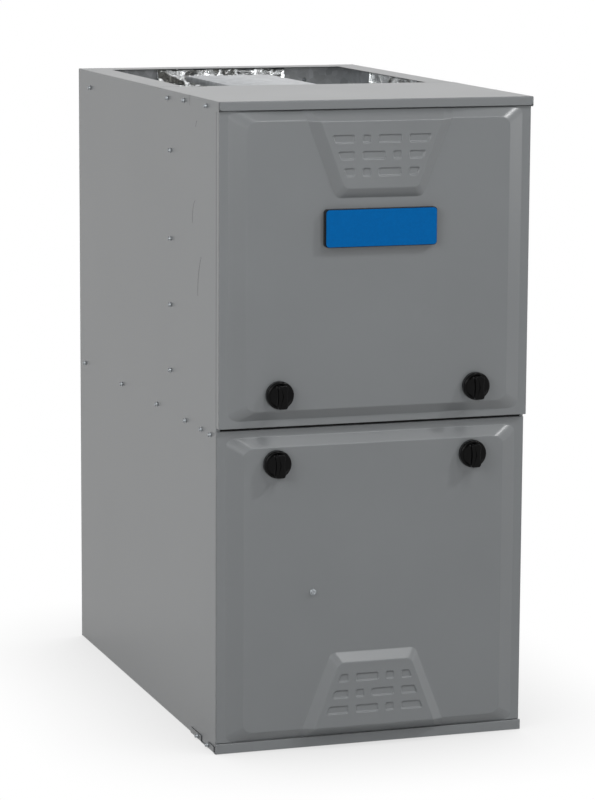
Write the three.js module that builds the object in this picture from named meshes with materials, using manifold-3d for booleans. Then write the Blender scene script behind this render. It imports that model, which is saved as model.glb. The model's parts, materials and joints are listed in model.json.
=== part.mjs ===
// Upflow condensing gas furnace: a sheet-metal cabinet with two pressed doors, and the working pieces in it.
// Millimetres, +Z up. The casing's own coordinates run x from the middle, y from the casing's front edge
// towards the back, and z up from the floor. The whole group is shifted so that the origin is at the middle
// of the object's footprint.
import * as THREE from "three";
import { mergeVertices } from "three/addons/utils/BufferGeometryUtils.js";
import Module from "manifold-3d";

const wasm = await Module();
wasm.setup();

// Casing
const WIDTH = 444.5;
const DEPTH = 718;
const HEIGHT = 889;
const SHEET = 1; // 20 gauge steel
const GAP = 0.3; // between pieces that touch
const SIDE = WIDTH / 2;
const INSIDE = SIDE - SHEET - GAP; // half width that fits between the side panels
const TAB = SIDE + GAP + SHEET; // outer face of the tabs that lap over the side panels
const FRONT_FLANGE = 25;
const RIM_FLANGE = 40; // turned in at the top, round the supply-air outlet
const BACK_FLANGE = 45;
const BOTTOM_FLANGE = 25;

// Top deck
const DECK_REAR = 288;
const DECK_FLANGE_LOW = 865; // foot of the flange along the deck's rear edge
const LIP_FRONT = -15;
const LIP_HEIGHT = 12;
const DECK_TABS = [
  [LIP_FRONT, 119.5],
  [120.5, 260],
];
const TAB_DROP = 14;
const SLOT = { x: -163, y: 278, length: 24, width: 6 };

// Base rail
const RAIL_FRONT = -4;
const RAIL_HEIGHT = 14;
const RAIL_DEPTH = 60;
const RAIL_TABS = [
  [6, 33],
  [66, 116],
];
const RAIL_TAB_HEIGHT = 8.5;
const RAIL_END = 116;

// Doors, measured from the door's outer end: the top of the upper door, the bottom of the lower one
const DOOR_HALF_WIDTH = 222;
const UPPER_DOOR = { low: 450, high: 876.5, front: -11 };
const LOWER_DOOR = { low: 14.5, high: 446.5, front: -2 };
const PANEL_RISE = 11;
const PANEL_FOOT = { x: 209.5, end: 1, inner: 10 }; // foot of the pressed panel's bevel
const PANEL_TOP = { x: 187, end: 14, inner: 23.5 };
const SHIELD_RISE = 9; // the trapezoid pressed further out of the panel
const SHIELD_FOOT = { end: 8, far: 118.5, wide: 105, narrow: 61.5 };
const SHIELD_TOP = { end: 15, far: 105, wide: 86.5, narrow: 52.5 };
const WINDOW_ROWS = [39, 61, 83.5];
const WINDOW_HEIGHT = 12.5;
const WINDOW_DEPTH = 2;
const WINDOW_WALL = 1.2;
const WINDOW_EDGE = 37.7; // inner edge of the outermost windows
const WINDOW_OUTER = [69, 61, 52.8]; // outer edge of the outermost windows, a row each
const WINDOW_SLANT = 0.36;
const WINDOW_SHORT = 13.4;
const WINDOW_LONG = 34.2;
const WINDOW_BETWEEN = 9.3; // between the two middle windows of a row
const DOOR_PAD = { x: 175, start: 20, inner: 75, thickness: 10 };

// Knobs and their latch fingers
const KNOB_X = 141;
const KNOB_FROM_JOINT = 46;
const KNOB_RADIUS = 19;
const KNOB_DISC = 9;
const KNOB_HEIGHT = 19.7;
const KNOB_SHAFT = 4;
const KNOB_HOLE = 5;
const FINGER = { y: 3, thickness: 4, length: 30, width: 10, hub: 7 };

// Nameplate on the upper door, and the screw in the lower one
const NAMEPLATE = { width: 159, height: 51.5, z: 718.5, thickness: 10, rim: 0.8, face: 1, corner: 6 };
const DOOR_SCREW = { x: -88, z: 220, flange: 5, head: 3.6, height: 5 };

// Middle of the cabinet
const CENTRE_RAIL = { low: 438, high: 458, depth: 19.5 };
const BLOWER_DECK = { z: 445, flange: 17, front: 21.3 };
const VESTIBULE = { y: 225, flange: 20 };

// Heating section
const CELL_PITCH = 70;
const CELL_COUNT = 4;
const BURNER_Z = 787;
const PASS_PITCH = 90;
const TUBE_RADIUS = 22;
const TUBE_WALL = 1.2;
const TUBE_START = 221;
const TUBE_BACK = 645;
const TUBE_FRONT = 285;
const TUBE_END = 660;
const TRANSITION = { x: 140, front: 654.3, back: 703.7, low: 455, high: 650 };
const COIL = { x: 130, front: 226.3, back: 654, low: 462, high: 534, tube: 8, plates: 6 };
const COIL_WINDOW = { x: 125, low: 466, high: 530 };
const COLLECTOR = { x: 135, front: 190, back: 224.7, low: 455, high: 540 };
const BURNER_BOX = { x: 145, front: 118, back: 224.7, low: 742, high: 832 };
const PROBE_Y = 217.5; // igniter and flame sensor, in the flames
const PROBE_TIP = 112;
const INSULATION = { thickness: 12, low: 560, high: 887.5, front: 300, back: 618 };
const BACK_INSULATION = { left: -102, right: 108 };
const BAFFLE = { left: -91, right: 40, back: 580, z: 884, flange: 9 };

// Combustion air and gas
const INDUCER = { x: 40, z: 636, front: 160, back: 215.7, small: 72, large: 96, outlet: 130, wall: 2.5 };
const INDUCER_WHEEL = { radius: 62, front: 175, back: 205, blades: 10 };
const MANIFOLD = { y: 95, radius: 11, left: -155, right: 150 };
const GAS_VALVE = { left: -190, right: -120, front: 60, back: 130, low: 660, high: 720 };
const VALVE_SWITCH = { x: -148, z: 693 };
const AIR_HOLE = 28; // radius of the inducer's inlet
const VENT = { x: 182, y: 190, high: 872, radius: 30, wall: 3, bend: 36 };
const PRESSURE_SWITCH = { x: -95, z: 640, radius: 35, front: 186, rim: 194, back: 214 };
const TRAP = { left: -212, right: -162, front: 150, back: 205, high: 540, port: 9 };

// Blower
const BLOWER = { y: 428, z: 225, half: 126, small: 148, large: 198, wall: 1.2, inlet: 115 };
const BLOWER_WHEEL = { radius: 135, half: 100, blades: 24, blade: 24 };
const MOTOR = { radius: 70, near: 36, far: 142 };

// Controls
const CONTROL_PLATE = { x: 125, y: 70, depth: 25, low: 280 };
const BOARD = { left: -100, right: 60, low: 290, high: 375, stand: 3.4, thickness: 1.6 };
const TRANSFORMER = { x: 95, z: 329 };
const JUNCTION_BOX = { width: 62, front: 26, back: 84, low: 300, high: 372, wall: 1.2 };
const DOOR_SWITCH = { z: 396, front: 14, plunger: 4, bore: 4.3 };

const MATERIALS = {
  paint: [0x8c8e90, 0.5, 0.2],
  galvanised: [0xa9acae, 0.4, 0.8],
  aluminised: [0xb0aea8, 0.45, 0.8],
  stainless: [0xb8babb, 0.3, 0.9],
  foil: [0xd0d2d4, 0.25, 1],
  black: [0x141414, 0.35, 0],
  blue: [0x02599a, 0.4, 0],
  aluminium: [0xc4c6c8, 0.4, 0.9],
  brass: [0xb08d4a, 0.35, 0.9],
  board: [0x1f5b3a, 0.6, 0],
  pvc: [0xd8d8d4, 0.5, 0],
  zinc: [0xbfc3c6, 0.3, 0.9],
  ceramic: [0xe6e2d8, 0.7, 0],
  darkSteel: [0x2c2e30, 0.5, 0.5],
  red: [0xa32020, 0.5, 0],
};

function materialOf(name) {
  const [color, roughness, metalness] = MATERIALS[name];
  return new THREE.MeshStandardMaterial({ color, roughness, metalness });
}

// Solids: three.js geometry in, manifold out, and back again for the mesh

function solidOf(geometry) {
  const bare = geometry.clone();
  bare.deleteAttribute("normal");
  bare.deleteAttribute("uv");
  const merged = mergeVertices(bare, 1e-4);
  const vertProperties = merged.attributes.position.array;
  const triVerts = new Uint32Array(merged.index.array);
  const made = new wasm.Manifold(new wasm.Mesh({ numProp: 3, vertProperties, triVerts }));
  if (made.volume() > 0) return made;
  return new wasm.Manifold(
    new wasm.Mesh({ numProp: 3, vertProperties, triVerts: triVerts.reverse() }),
  );
}

function geometryOf(solid) {
  const { numProp, vertProperties, triVerts } = solid.getMesh();
  const positions = new Float32Array((vertProperties.length / numProp) * 3);
  for (let i = 0; i < positions.length / 3; i++) {
    positions.set(vertProperties.subarray(i * numProp, i * numProp + 3), i * 3);
  }
  const geometry = new THREE.BufferGeometry();
  geometry.setAttribute("position", new THREE.BufferAttribute(positions, 3));
  geometry.setIndex(new THREE.BufferAttribute(new Uint32Array(triVerts), 1));
  const flat = geometry.toNonIndexed();
  flat.computeVertexNormals();
  return flat;
}

function join(...solids) {
  return solids.reduce((whole, one) => whole.add(one));
}

function cut(solid, ...tools) {
  return tools.reduce((whole, tool) => whole.subtract(tool), solid);
}

function box([x0, x1], [y0, y1], [z0, z1]) {
  const geometry = new THREE.BoxGeometry(2, 2, 2);
  const corner = geometry.attributes.position;
  for (let i = 0; i < corner.count; i++) {
    const x = corner.getX(i) < 0 ? x0 : x1;
    const y = corner.getY(i) < 0 ? y0 : y1;
    const z = corner.getZ(i) < 0 ? z0 : z1;
    corner.setXYZ(i, x, y, z);
  }
  return solidOf(geometry);
}

// A point of a flat outline in the plane across an axis, lifted to a place along it
const PLANES = {
  x: (a, b, along) => new THREE.Vector3(along, a, b),
  y: (a, b, along) => new THREE.Vector3(a, along, b),
  z: (a, b, along) => new THREE.Vector3(a, b, along),
};

// A closed solid through rings of points that match one to one, with convex ends
function loft(rings) {
  const count = rings[0].length;
  const positions = rings.flat().flatMap((p) => p.toArray());
  const faces = [];
  for (let r = 0; r + 1 < rings.length; r++) {
    for (let i = 0; i < count; i++) {
      const a = r * count + i;
      const b = r * count + ((i + 1) % count);
      faces.push(a, b, b + count, a, b + count, a + count);
    }
  }
  const last = (rings.length - 1) * count;
  for (let i = 1; i + 1 < count; i++) {
    faces.push(0, i + 1, i, last, last + i, last + i + 1);
  }
  const geometry = new THREE.BufferGeometry();
  geometry.setAttribute("position", new THREE.Float32BufferAttribute(positions, 3));
  geometry.setIndex(faces);
  return solidOf(geometry);
}

// A flat outline of [a, b] points, drawn out along an axis
function prism(outline, axis, from, to) {
  const shape = new THREE.Shape(outline.map(([a, b]) => new THREE.Vector2(a, b)));
  const geometry = new THREE.ExtrudeGeometry(shape, { depth: to - from, bevelEnabled: false });
  const corner = geometry.attributes.position;
  for (let i = 0; i < corner.count; i++) {
    const along = corner.getZ(i) > 0 ? to : from;
    const p = PLANES[axis](corner.getX(i), corner.getY(i), along);
    corner.setXYZ(i, p.x, p.y, p.z);
  }
  return solidOf(geometry);
}

function circle(radius, sides, centre = [0, 0]) {
  return Array.from({ length: sides }, (_, i) => {
    const angle = (2 * Math.PI * i) / sides;
    return [centre[0] + radius * Math.cos(angle), centre[1] + radius * Math.sin(angle)];
  });
}

function rod(axis, centre, radius, from, to, sides = 16) {
  return prism(circle(radius, sides, centre), axis, from, to);
}

// A turned piece: a profile of [radius, place along the axis] that starts and ends on the axis
function turned(profile, axis, centre, sides = 24) {
  const geometry = new THREE.LatheGeometry(
    profile.map(([r, h]) => new THREE.Vector2(r, h)),
    sides,
  );
  const corner = geometry.attributes.position;
  for (let i = 0; i < corner.count; i++) {
    const a = centre[0] + corner.getX(i);
    const b = centre[1] + corner.getZ(i);
    const p = PLANES[axis](a, b, corner.getY(i));
    corner.setXYZ(i, p.x, p.y, p.z);
  }
  return solidOf(geometry);
}

// The outline of a convex polygon with its corners rounded
function rounded(corners, radius, steps = 3) {
  const points = corners.map(([a, b]) => new THREE.Vector2(a, b));
  return points.flatMap((corner, i) => {
    const before = points[(i + points.length - 1) % points.length];
    const after = points[(i + 1) % points.length];
    const start = corner.clone().add(before.clone().sub(corner).setLength(radius));
    const end = corner.clone().add(after.clone().sub(corner).setLength(radius));
    const curve = new THREE.QuadraticBezierCurve(start, corner, end);
    return curve.getPoints(steps).map((p) => [p.x, p.y]);
  });
}

// A line of straight runs with round bends; the bends are quarter circles between runs at right angles
function bentPath(corners, bend, steps = 4) {
  const points = corners.map((corner) => new THREE.Vector3(...corner));
  const path = [points[0]];
  for (let i = 1; i + 1 < points.length; i++) {
    const back = points[i - 1].clone().sub(points[i]).setLength(bend);
    const on = points[i + 1].clone().sub(points[i]).setLength(bend);
    for (let s = 0; s <= steps; s++) {
      const angle = (Math.PI / 2) * (s / steps);
      const p = points[i].clone();
      p.addScaledVector(back, 1 - Math.sin(angle)).addScaledVector(on, 1 - Math.cos(angle));
      const repeated = p.distanceTo(path[path.length - 1]) < 0.01;
      if (!repeated) path.push(p);
    }
  }
  path.push(points[points.length - 1]);
  return path;
}

// A round bar along a path that lies in one plane; side is that plane's normal
function roundBar(path, radius, side, sides) {
  const rings = path.map((point, i) => {
    const before = path[Math.max(i - 1, 0)];
    const after = path[Math.min(i + 1, path.length - 1)];
    const along = after.clone().sub(before).normalize();
    const up = along.clone().cross(side);
    return circle(radius, sides).map(([a, b]) =>
      point.clone().addScaledVector(side, a).addScaledVector(up, b),
    );
  });
  return loft(rings);
}

function pipe(corners, bend, radius, wall, side, sides) {
  const path = bentPath(corners, bend);
  const bore = path.map((p) => p.clone());
  const end = bore.length - 1;
  bore[0].addScaledVector(path[0].clone().sub(path[1]).normalize(), 1);
  bore[end].addScaledVector(path[end].clone().sub(path[end - 1]).normalize(), 1);
  return cut(roundBar(path, radius, side, sides), roundBar(bore, radius - wall, side, sides));
}

// A volute: an arc whose radius falls from large to small, with a straight mouth
function volute(centre, small, large, from, to, mouth, steps = 20) {
  const arc = Array.from({ length: steps + 1 }, (_, i) => {
    const angle = from + ((to - from) * i) / steps;
    const radius = large + ((small - large) * i) / steps;
    return [centre[0] + radius * Math.cos(angle), centre[1] + radius * Math.sin(angle)];
  });
  return mouth(arc);
}

const furnace = new THREE.Group();

function place(name, solid, material, parent = furnace) {
  const mesh = new THREE.Mesh(geometryOf(solid), materialOf(material));
  mesh.name = name;
  parent.add(mesh);
  return mesh;
}

function mirrored([low, high], hand) {
  return hand < 0 ? [-high, -low] : [low, high];
}

// Casing

// The left one; the right one is its mirror image
function sidePanel() {
  const web = [-SIDE, -SIDE + SHEET];
  const rearEdge = DEPTH - SHEET - GAP;
  const rimStart = DECK_REAR + GAP;
  const underDeck = HEIGHT - SHEET - GAP;
  return join(
    box(web, [0, rearEdge], [SHEET + GAP, underDeck]),
    box(web, [rimStart, rearEdge], [underDeck - 1, HEIGHT]),
    box(web, [RAIL_END + GAP, rearEdge], [0, 2]),
    box([-SIDE, -SIDE + FRONT_FLANGE], [0, SHEET], [RAIL_HEIGHT + GAP, underDeck]),
    box([-SIDE, -SIDE + RIM_FLANGE], [rimStart, rearEdge], [HEIGHT - SHEET, HEIGHT]),
    box([-SIDE, -SIDE + BOTTOM_FLANGE], [RAIL_END + GAP, rearEdge], [0, SHEET]),
  );
}

function backPanel() {
  const rim = SIDE - RIM_FLANGE - GAP;
  const foot = SIDE - BOTTOM_FLANGE - GAP;
  return join(
    box([-SIDE, SIDE], [DEPTH - SHEET, DEPTH], [0, HEIGHT]),
    box([-rim, rim], [DEPTH - BACK_FLANGE, DEPTH], [HEIGHT - SHEET, HEIGHT]),
    box([-foot, foot], [DEPTH - BACK_FLANGE, DEPTH], [0, SHEET]),
  );
}

function topDeck() {
  const inner = TAB - SHEET;
  const [frontTab, rearTab] = DECK_TABS;
  const folded = cut(
    box([-TAB, TAB], [LIP_FRONT, DECK_REAR], [HEIGHT - TAB_DROP, HEIGHT]),
    box([-inner, inner], [LIP_FRONT + SHEET, DECK_REAR + 1], [0, HEIGHT - SHEET]),
    box([-inner, inner], [LIP_FRONT - 1, 0], [0, HEIGHT - LIP_HEIGHT]),
    box([-TAB - 1, TAB + 1], [frontTab[1], rearTab[0]], [0, HEIGHT - SHEET]),
    box([-TAB - 1, TAB + 1], [rearTab[1], DECK_REAR + 1], [0, HEIGHT - SHEET]),
  );
  const flangeY = [DECK_REAR - SHEET, DECK_REAR];
  const rearFlange = box([-INSIDE, INSIDE], flangeY, [DECK_FLANGE_LOW, HEIGHT - 0.5]);
  const slotX = [SLOT.x - SLOT.length / 2, SLOT.x + SLOT.length / 2];
  const slotY = [SLOT.y - SLOT.width / 2, SLOT.y + SLOT.width / 2];
  return cut(join(folded, rearFlange), box(slotX, slotY, [HEIGHT - 5, HEIGHT + 5]));
}

function baseRail() {
  const foot = SIDE - BOTTOM_FLANGE;
  const parts = [
    box([-TAB, TAB], [RAIL_FRONT, RAIL_FRONT + SHEET], [0, RAIL_HEIGHT]),
    box([-TAB, TAB], [RAIL_FRONT, -GAP], [RAIL_HEIGHT - SHEET, RAIL_HEIGHT]),
    box([-TAB, TAB], [RAIL_FRONT, RAIL_DEPTH], [0, SHEET]),
  ];
  for (const hand of [-1, 1]) {
    parts.push(box(mirrored([foot, TAB], hand), [RAIL_DEPTH - 5, RAIL_END], [0, SHEET]));
    for (const run of RAIL_TABS) {
      parts.push(box(mirrored([TAB - SHEET, TAB], hand), run, [0, RAIL_TAB_HEIGHT]));
    }
  }
  return join(...parts);
}

function centreRail() {
  const y = SHEET + GAP;
  const { low, high, depth } = CENTRE_RAIL;
  return cut(
    box([-INSIDE, INSIDE], [y, y + depth], [low, high]),
    box([-INSIDE - 1, INSIDE + 1], [y + SHEET, y + depth + 1], [low + SHEET, high - SHEET]),
  );
}

function blowerDeck() {
  const rear = DEPTH - SHEET - GAP;
  const { z, flange, front } = BLOWER_DECK;
  const mouth = [BLOWER.y - BLOWER.large + 3, BLOWER.y + BLOWER.small * Math.cos(CUTOFF) - 3];
  const half = BLOWER.half - 4;
  return cut(
    box([-INSIDE, INSIDE], [front, rear], [z + SHEET - flange, z + SHEET]),
    box([-INSIDE + SHEET, INSIDE - SHEET], [front + SHEET, rear + 1], [z - flange, z]),
    box([-half, half], mouth, [z - 1, z + 5]),
  );
}

function cellPlaces() {
  return Array.from({ length: CELL_COUNT }, (_, i) => (i - (CELL_COUNT - 1) / 2) * CELL_PITCH);
}

function vestibulePanel() {
  const { y, flange } = VESTIBULE;
  const low = BLOWER_DECK.z + SHEET + GAP;
  const high = HEIGHT - SHEET - 2 * GAP;
  const panel = cut(
    box([-INSIDE, INSIDE], [y, y + flange], [low, high]),
    box([-INSIDE + SHEET, INSIDE - SHEET], [y + SHEET, y + flange + 1], [low - 1, high - SHEET]),
  );
  const holes = cellPlaces().map((x) => rod("y", [x, BURNER_Z], TUBE_RADIUS + 1, y - 5, y + 5));
  const { x, low: windowLow, high: windowHigh } = COIL_WINDOW;
  return cut(panel, ...holes, box([-x, x], [y - 5, y + 5], [windowLow, windowHigh]));
}

// Doors: one pressing in the door's own coordinates, with v measured from the door's outer end towards the
// joint between the doors, and y from the door's border towards the back

function panelRing(foot, length, y) {
  const corners = [
    [-foot.x, foot.end],
    [foot.x, foot.end],
    [foot.x, length - foot.inner],
    [-foot.x, length - foot.inner],
  ];
  return rounded(corners, 8).map(([x, v]) => new THREE.Vector3(x, y, v));
}

function shieldRing(size, end, y) {
  const corners = [
    [-size.wide, end],
    [size.wide, end],
    [size.narrow, size.far],
    [-size.narrow, size.far],
  ];
  return rounded(corners, 10).map(([x, v]) => new THREE.Vector3(x, y, v));
}

// The outlines of one row's windows as [x, v] corners; the outermost ones slant with the trapezoid
function windowRow(row) {
  const near = WINDOW_ROWS[row] - WINDOW_HEIGHT / 2;
  const far = WINDOW_ROWS[row] + WINDOW_HEIGHT / 2;
  const lean = (WINDOW_SLANT * WINDOW_HEIGHT) / 2;
  const outer = WINDOW_OUTER[row];
  const half = (WINDOW_SHORT + WINDOW_LONG + WINDOW_BETWEEN) / 2;
  const shortFirst = row === 1;
  const split = -half + (shortFirst ? WINDOW_SHORT : WINDOW_LONG);
  const rectangle = (left, right) => [
    [left, near],
    [right, near],
    [right, far],
    [left, far],
  ];
  return [
    [
      [-outer - lean, near],
      [-WINDOW_EDGE, near],
      [-WINDOW_EDGE, far],
      [-outer + lean, far],
    ],
    rectangle(-half, split),
    rectangle(split + WINDOW_BETWEEN, half),
    [
      [WINDOW_EDGE, near],
      [outer + lean, near],
      [outer - lean, far],
      [WINDOW_EDGE, far],
    ],
  ];
}

function windowPocket(corners, top) {
  const middle = [0, 1].map((k) => corners.reduce((sum, c) => sum + c[k], 0) / corners.length);
  const ring = (y, inset) =>
    corners.map(([x, v]) => {
      const dx = Math.sign(middle[0] - x) * inset;
      const dv = Math.sign(middle[1] - v) * inset;
      return new THREE.Vector3(x + dx, y, v + dv);
    });
  return loft([ring(top - 1, -WINDOW_WALL / 2), ring(top, 0), ring(top + WINDOW_DEPTH, WINDOW_WALL)]);
}

function pressing(length, inset, depth) {
  const border = box(
    [-DOOR_HALF_WIDTH + inset, DOOR_HALF_WIDTH - inset],
    [0, depth],
    [inset, length - inset],
  );
  const panel = loft([
    panelRing(PANEL_FOOT, length, 0.5),
    panelRing(PANEL_FOOT, length, 0),
    panelRing(PANEL_TOP, length, -PANEL_RISE),
  ]);
  const top = -PANEL_RISE - SHIELD_RISE;
  const shield = loft([
    shieldRing(SHIELD_FOOT, PANEL_FOOT.end, 0.5),
    shieldRing(SHIELD_FOOT, PANEL_FOOT.end, 0),
    shieldRing(SHIELD_FOOT, SHIELD_FOOT.end, -PANEL_RISE),
    shieldRing(SHIELD_TOP, SHIELD_TOP.end, top),
  ]);
  const windows = [0, 1, 2].flatMap((row) => windowRow(row));
  return cut(join(border, panel, shield), ...windows.map((corners) => windowPocket(corners, top)));
}

function doorSheet(door) {
  const length = door.high - door.low;
  const depth = -door.front - 0.5;
  const hollow = pressing(length, SHEET, depth + 2).translate([0, SHEET, 0]);
  const knobs = [-KNOB_X, KNOB_X].map((x) =>
    rod("y", [x, length - KNOB_FROM_JOINT], KNOB_HOLE, -PANEL_RISE - 5, -PANEL_RISE + 5),
  );
  return cut(pressing(length, 0, depth), hollow, ...knobs);
}

function doorPad(door) {
  const length = door.high - door.low;
  const back = -PANEL_RISE + SHEET + GAP;
  return box(
    [-DOOR_PAD.x, DOOR_PAD.x],
    [back, back + DOOR_PAD.thickness],
    [DOOR_PAD.start, length - DOOR_PAD.inner],
  );
}

// The upper door's outer end is its top, so its v runs down; the lower door is the same pressing the
// right way up. Half a turn about y takes one to the other.
function doorGroup(door, upsideDown) {
  const group = new THREE.Group();
  group.position.set(0, door.front, upsideDown ? door.high : door.low);
  group.rotation.y = upsideDown ? Math.PI : 0;
  furnace.add(group);
  return group;
}

function screwHead(screw) {
  return join(
    turned(
      [
        [0, 0],
        [screw.flange, 0],
        [screw.flange, 1],
        [0, 1],
      ],
      "y",
      [0, 0],
      16,
    ).mirror([0, 1, 0]),
    rod("y", [0, 0], screw.head, -screw.height, -0.5, 6),
  );
}

// Knobs turn about y; the grip rib tapers towards its tip, which points down
function knob(shaftLength) {
  const disc = [
    [0, 0],
    [KNOB_RADIUS, 0],
    [KNOB_RADIUS, -KNOB_DISC + 3],
    [KNOB_RADIUS - 3, -KNOB_DISC],
    [0, -KNOB_DISC],
  ];
  const rib = (y, shrink) =>
    [
      [-7.5 + shrink, 14 - shrink],
      [7.5 - shrink, 14 - shrink],
      [2.5 - shrink / 2, -KNOB_RADIUS + shrink],
      [-2.5 + shrink / 2, -KNOB_RADIUS + shrink],
    ].map(([x, z]) => new THREE.Vector3(x, y, z));
  return join(
    turned(disc, "y", [0, 0]),
    loft([rib(-KNOB_DISC + 1, 0), rib(-KNOB_HEIGHT + 2, 1), rib(-KNOB_HEIGHT, 3)]),
    rod("y", [0, 0], KNOB_SHAFT, -1, shaftLength, 12),
  );
}

function latchFinger(towards) {
  const { thickness, length, width, hub } = FINGER;
  const end = towards * length;
  return join(
    rod("y", [0, 0], hub, 0, thickness, 12),
    box([-width / 2, width / 2], [0, thickness], [Math.min(0, end), Math.max(0, end)]),
  );
}

// The knobs stand beside the joint of the two doors, and their fingers reach towards it
function knobSet(side, level, door) {
  const x = side === "left" ? -KNOB_X : KNOB_X;
  const z = level === "upper" ? door.low + KNOB_FROM_JOINT : door.high - KNOB_FROM_JOINT;
  const towards = level === "upper" ? -1 : 1;
  const y = door.front - PANEL_RISE - GAP;
  const shaft = FINGER.y - GAP - y;
  place(`${level}_${side}_knob`, knob(shaft), "black").position.set(x, y, z);
  place(`${level}_${side}_latch_finger`, latchFinger(towards), "zinc").position.set(x, FINGER.y, z);
}

function nameplate() {
  const { width, height, z, thickness, rim, face, corner } = NAMEPLATE;
  const outline = (inset) => {
    const a = width / 2 - inset;
    const b = height / 2 - inset;
    const corners = [
      [-a, -b],
      [a, -b],
      [a, b],
      [-a, b],
    ];
    return rounded(corners, corner - inset);
  };
  const back = UPPER_DOOR.front - PANEL_RISE - GAP;
  const group = new THREE.Group();
  group.position.set(0, back, z);
  furnace.add(group);
  place("nameplate_carrier", prism(outline(0), "y", -thickness + face + GAP, 0), "black", group);
  place("nameplate_face", prism(outline(rim), "y", -thickness, -thickness + face), "blue", group);
}

// Heating section

function heatExchangerTube() {
  const low = BURNER_Z - PASS_PITCH;
  const lowest = low - PASS_PITCH;
  const corners = [
    [0, TUBE_START, BURNER_Z],
    [0, TUBE_BACK, BURNER_Z],
    [0, TUBE_BACK, low],
    [0, TUBE_FRONT, low],
    [0, TUBE_FRONT, lowest],
    [0, TUBE_END, lowest],
  ];
  const side = new THREE.Vector3(1, 0, 0);
  return pipe(corners, PASS_PITCH / 2, TUBE_RADIUS, TUBE_WALL, side, 10);
}

function transitionBox() {
  const { x, front, back, low, high } = TRANSITION;
  const wall = SHEET;
  const shell = box([-x, x], [front, back], [low, high]);
  const room = box([-x + wall, x - wall], [front + wall, back - wall], [low + wall, high - wall]);
  const outlet = BURNER_Z - 2 * PASS_PITCH;
  const holes = cellPlaces().map((at) =>
    rod("y", [at, outlet], TUBE_RADIUS + 1, front - 5, front + 5),
  );
  const window = box([-COIL_WINDOW.x, COIL_WINDOW.x], [front - 5, front + 5], [
    COIL_WINDOW.low,
    COIL_WINDOW.high,
  ]);
  return cut(shell, room, ...holes, window);
}

function secondaryCoil() {
  const { x, front, back, low, high, tube, plates } = COIL;
  const pitch = (back - SHEET - front) / (plates - 1);
  const parts = Array.from({ length: plates }, (_, i) => front + i * pitch).map((y) =>
    box([-x, x], [y, y + SHEET], [low, high]),
  );
  for (const column of [-3, -1, 1, 3]) {
    for (const z of [low + 20, high - 20]) {
      parts.push(rod("y", [(column * x) / 4, z], tube, front + 0.2, back - 0.2, 6));
    }
  }
  return join(...parts);
}

// A shallow plastic box, open at its back, with a duct that leads up behind the inducer
function collectorBox() {
  const { x, front, back, low, high } = COLLECTOR;
  const wall = 2.5;
  const duct = INDUCER.back + GAP;
  const ductX = [INDUCER.x - 35, INDUCER.x + 35];
  const ductTop = INDUCER.z + 36;
  return cut(
    join(
      box([-x, x], [front, back], [low, high]),
      box(ductX, [duct, back], [high - 5, ductTop]),
    ),
    box([-x + wall, x - wall], [front + wall, back + 1], [low + wall, high - wall]),
    box([ductX[0] + wall, ductX[1] - wall], [duct + wall, back + 1], [high - 10, ductTop - wall]),
    rod("y", [INDUCER.x, INDUCER.z], AIR_HOLE, duct - 1, duct + 5),
  );
}

function burnerBox() {
  const { x, front, back, low, high } = BURNER_BOX;
  const probes = rod("x", [PROBE_Y, BURNER_Z], 4, -x - 1, x + 1, 8);
  const mouths = cellPlaces().map((at) => rod("y", [at, BURNER_Z], 14, front - 1, front + 3));
  return cut(
    box([-x, x], [front, back], [low, high]),
    box([-x + SHEET, x - SHEET], [front + SHEET, back + 1], [low + SHEET, high - SHEET]),
    probes,
    ...mouths,
  );
}

// A venturi burner: a flared mouth, a throat and a wider flame holder, open from end to end
function burner() {
  const profile = [
    [17.5, 119.3],
    [11, 140],
    [11, 165],
    [18, 185],
    [18, 214],
    [16.8, 214],
    [16.8, 186],
    [9.8, 165],
    [9.8, 140],
    [16.3, 119.3],
    [17.5, 119.3],
  ];
  return turned(profile, "y", [0, 0], 12);
}

function gasManifold() {
  const { y, radius, left, right } = MANIFOLD;
  const corners = [
    [right, y, BURNER_Z],
    [left, y, BURNER_Z],
    [left, y, GAS_VALVE.high + GAP],
  ];
  const main = roundBar(bentPath(corners, 18), radius, new THREE.Vector3(0, 1, 0), 12);
  const orifices = cellPlaces().map((x) => rod("y", [x, BURNER_Z], 6, y, 122, 8));
  const brackets = [-125, 125].map((x) =>
    box([x - 6, x + 6], [y, BURNER_BOX.front - GAP], [BURNER_Z - 9, BURNER_Z - 6]),
  );
  return join(main, ...orifices, ...brackets);
}

function gasValve() {
  const { left, right, front, back, low, high } = GAS_VALVE;
  const x = (left + right) / 2;
  const y = (front + back) / 2;
  return join(
    box([left, right], [front, back], [low, high - 12]),
    box([left + 10, right - 10], [front + 12, back - 12], [high - 14, high]),
    rod("z", [x, y], 15, low - 18, low + 1, 12),
    rod("y", [right - 20, low + 16], 9, front - 8, front + 1, 12),
  );
}

function gasValveSwitch() {
  const back = GAS_VALVE.front - GAP;
  const { x, z } = VALVE_SWITCH;
  return join(
    box([x - 4, x + 4], [back - 3, back], [z - 7, z + 7]),
    box([x - 2, x + 2], [back - 9, back], [z - 4, z + 4]),
  );
}

function hotSurfaceIgniter() {
  const x = BURNER_BOX.x + GAP;
  return join(
    box([x, x + 9], [PROBE_Y - 9.5, PROBE_Y + 6.5], [BURNER_Z - 9, BURNER_Z + 9]),
    rod("x", [PROBE_Y, BURNER_Z], 2, PROBE_TIP, x + 1, 8),
  );
}

function flameSensor() {
  const x = -BURNER_BOX.x - GAP;
  return join(
    box([x - 6, x], [PROBE_Y - 6.5, PROBE_Y + 6.5], [BURNER_Z - 6, BURNER_Z + 6]),
    rod("x", [PROBE_Y, BURNER_Z], 1.5, x - 1, -PROBE_TIP, 8),
  );
}

// Draught inducer: its volute blows towards +x at the top

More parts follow.
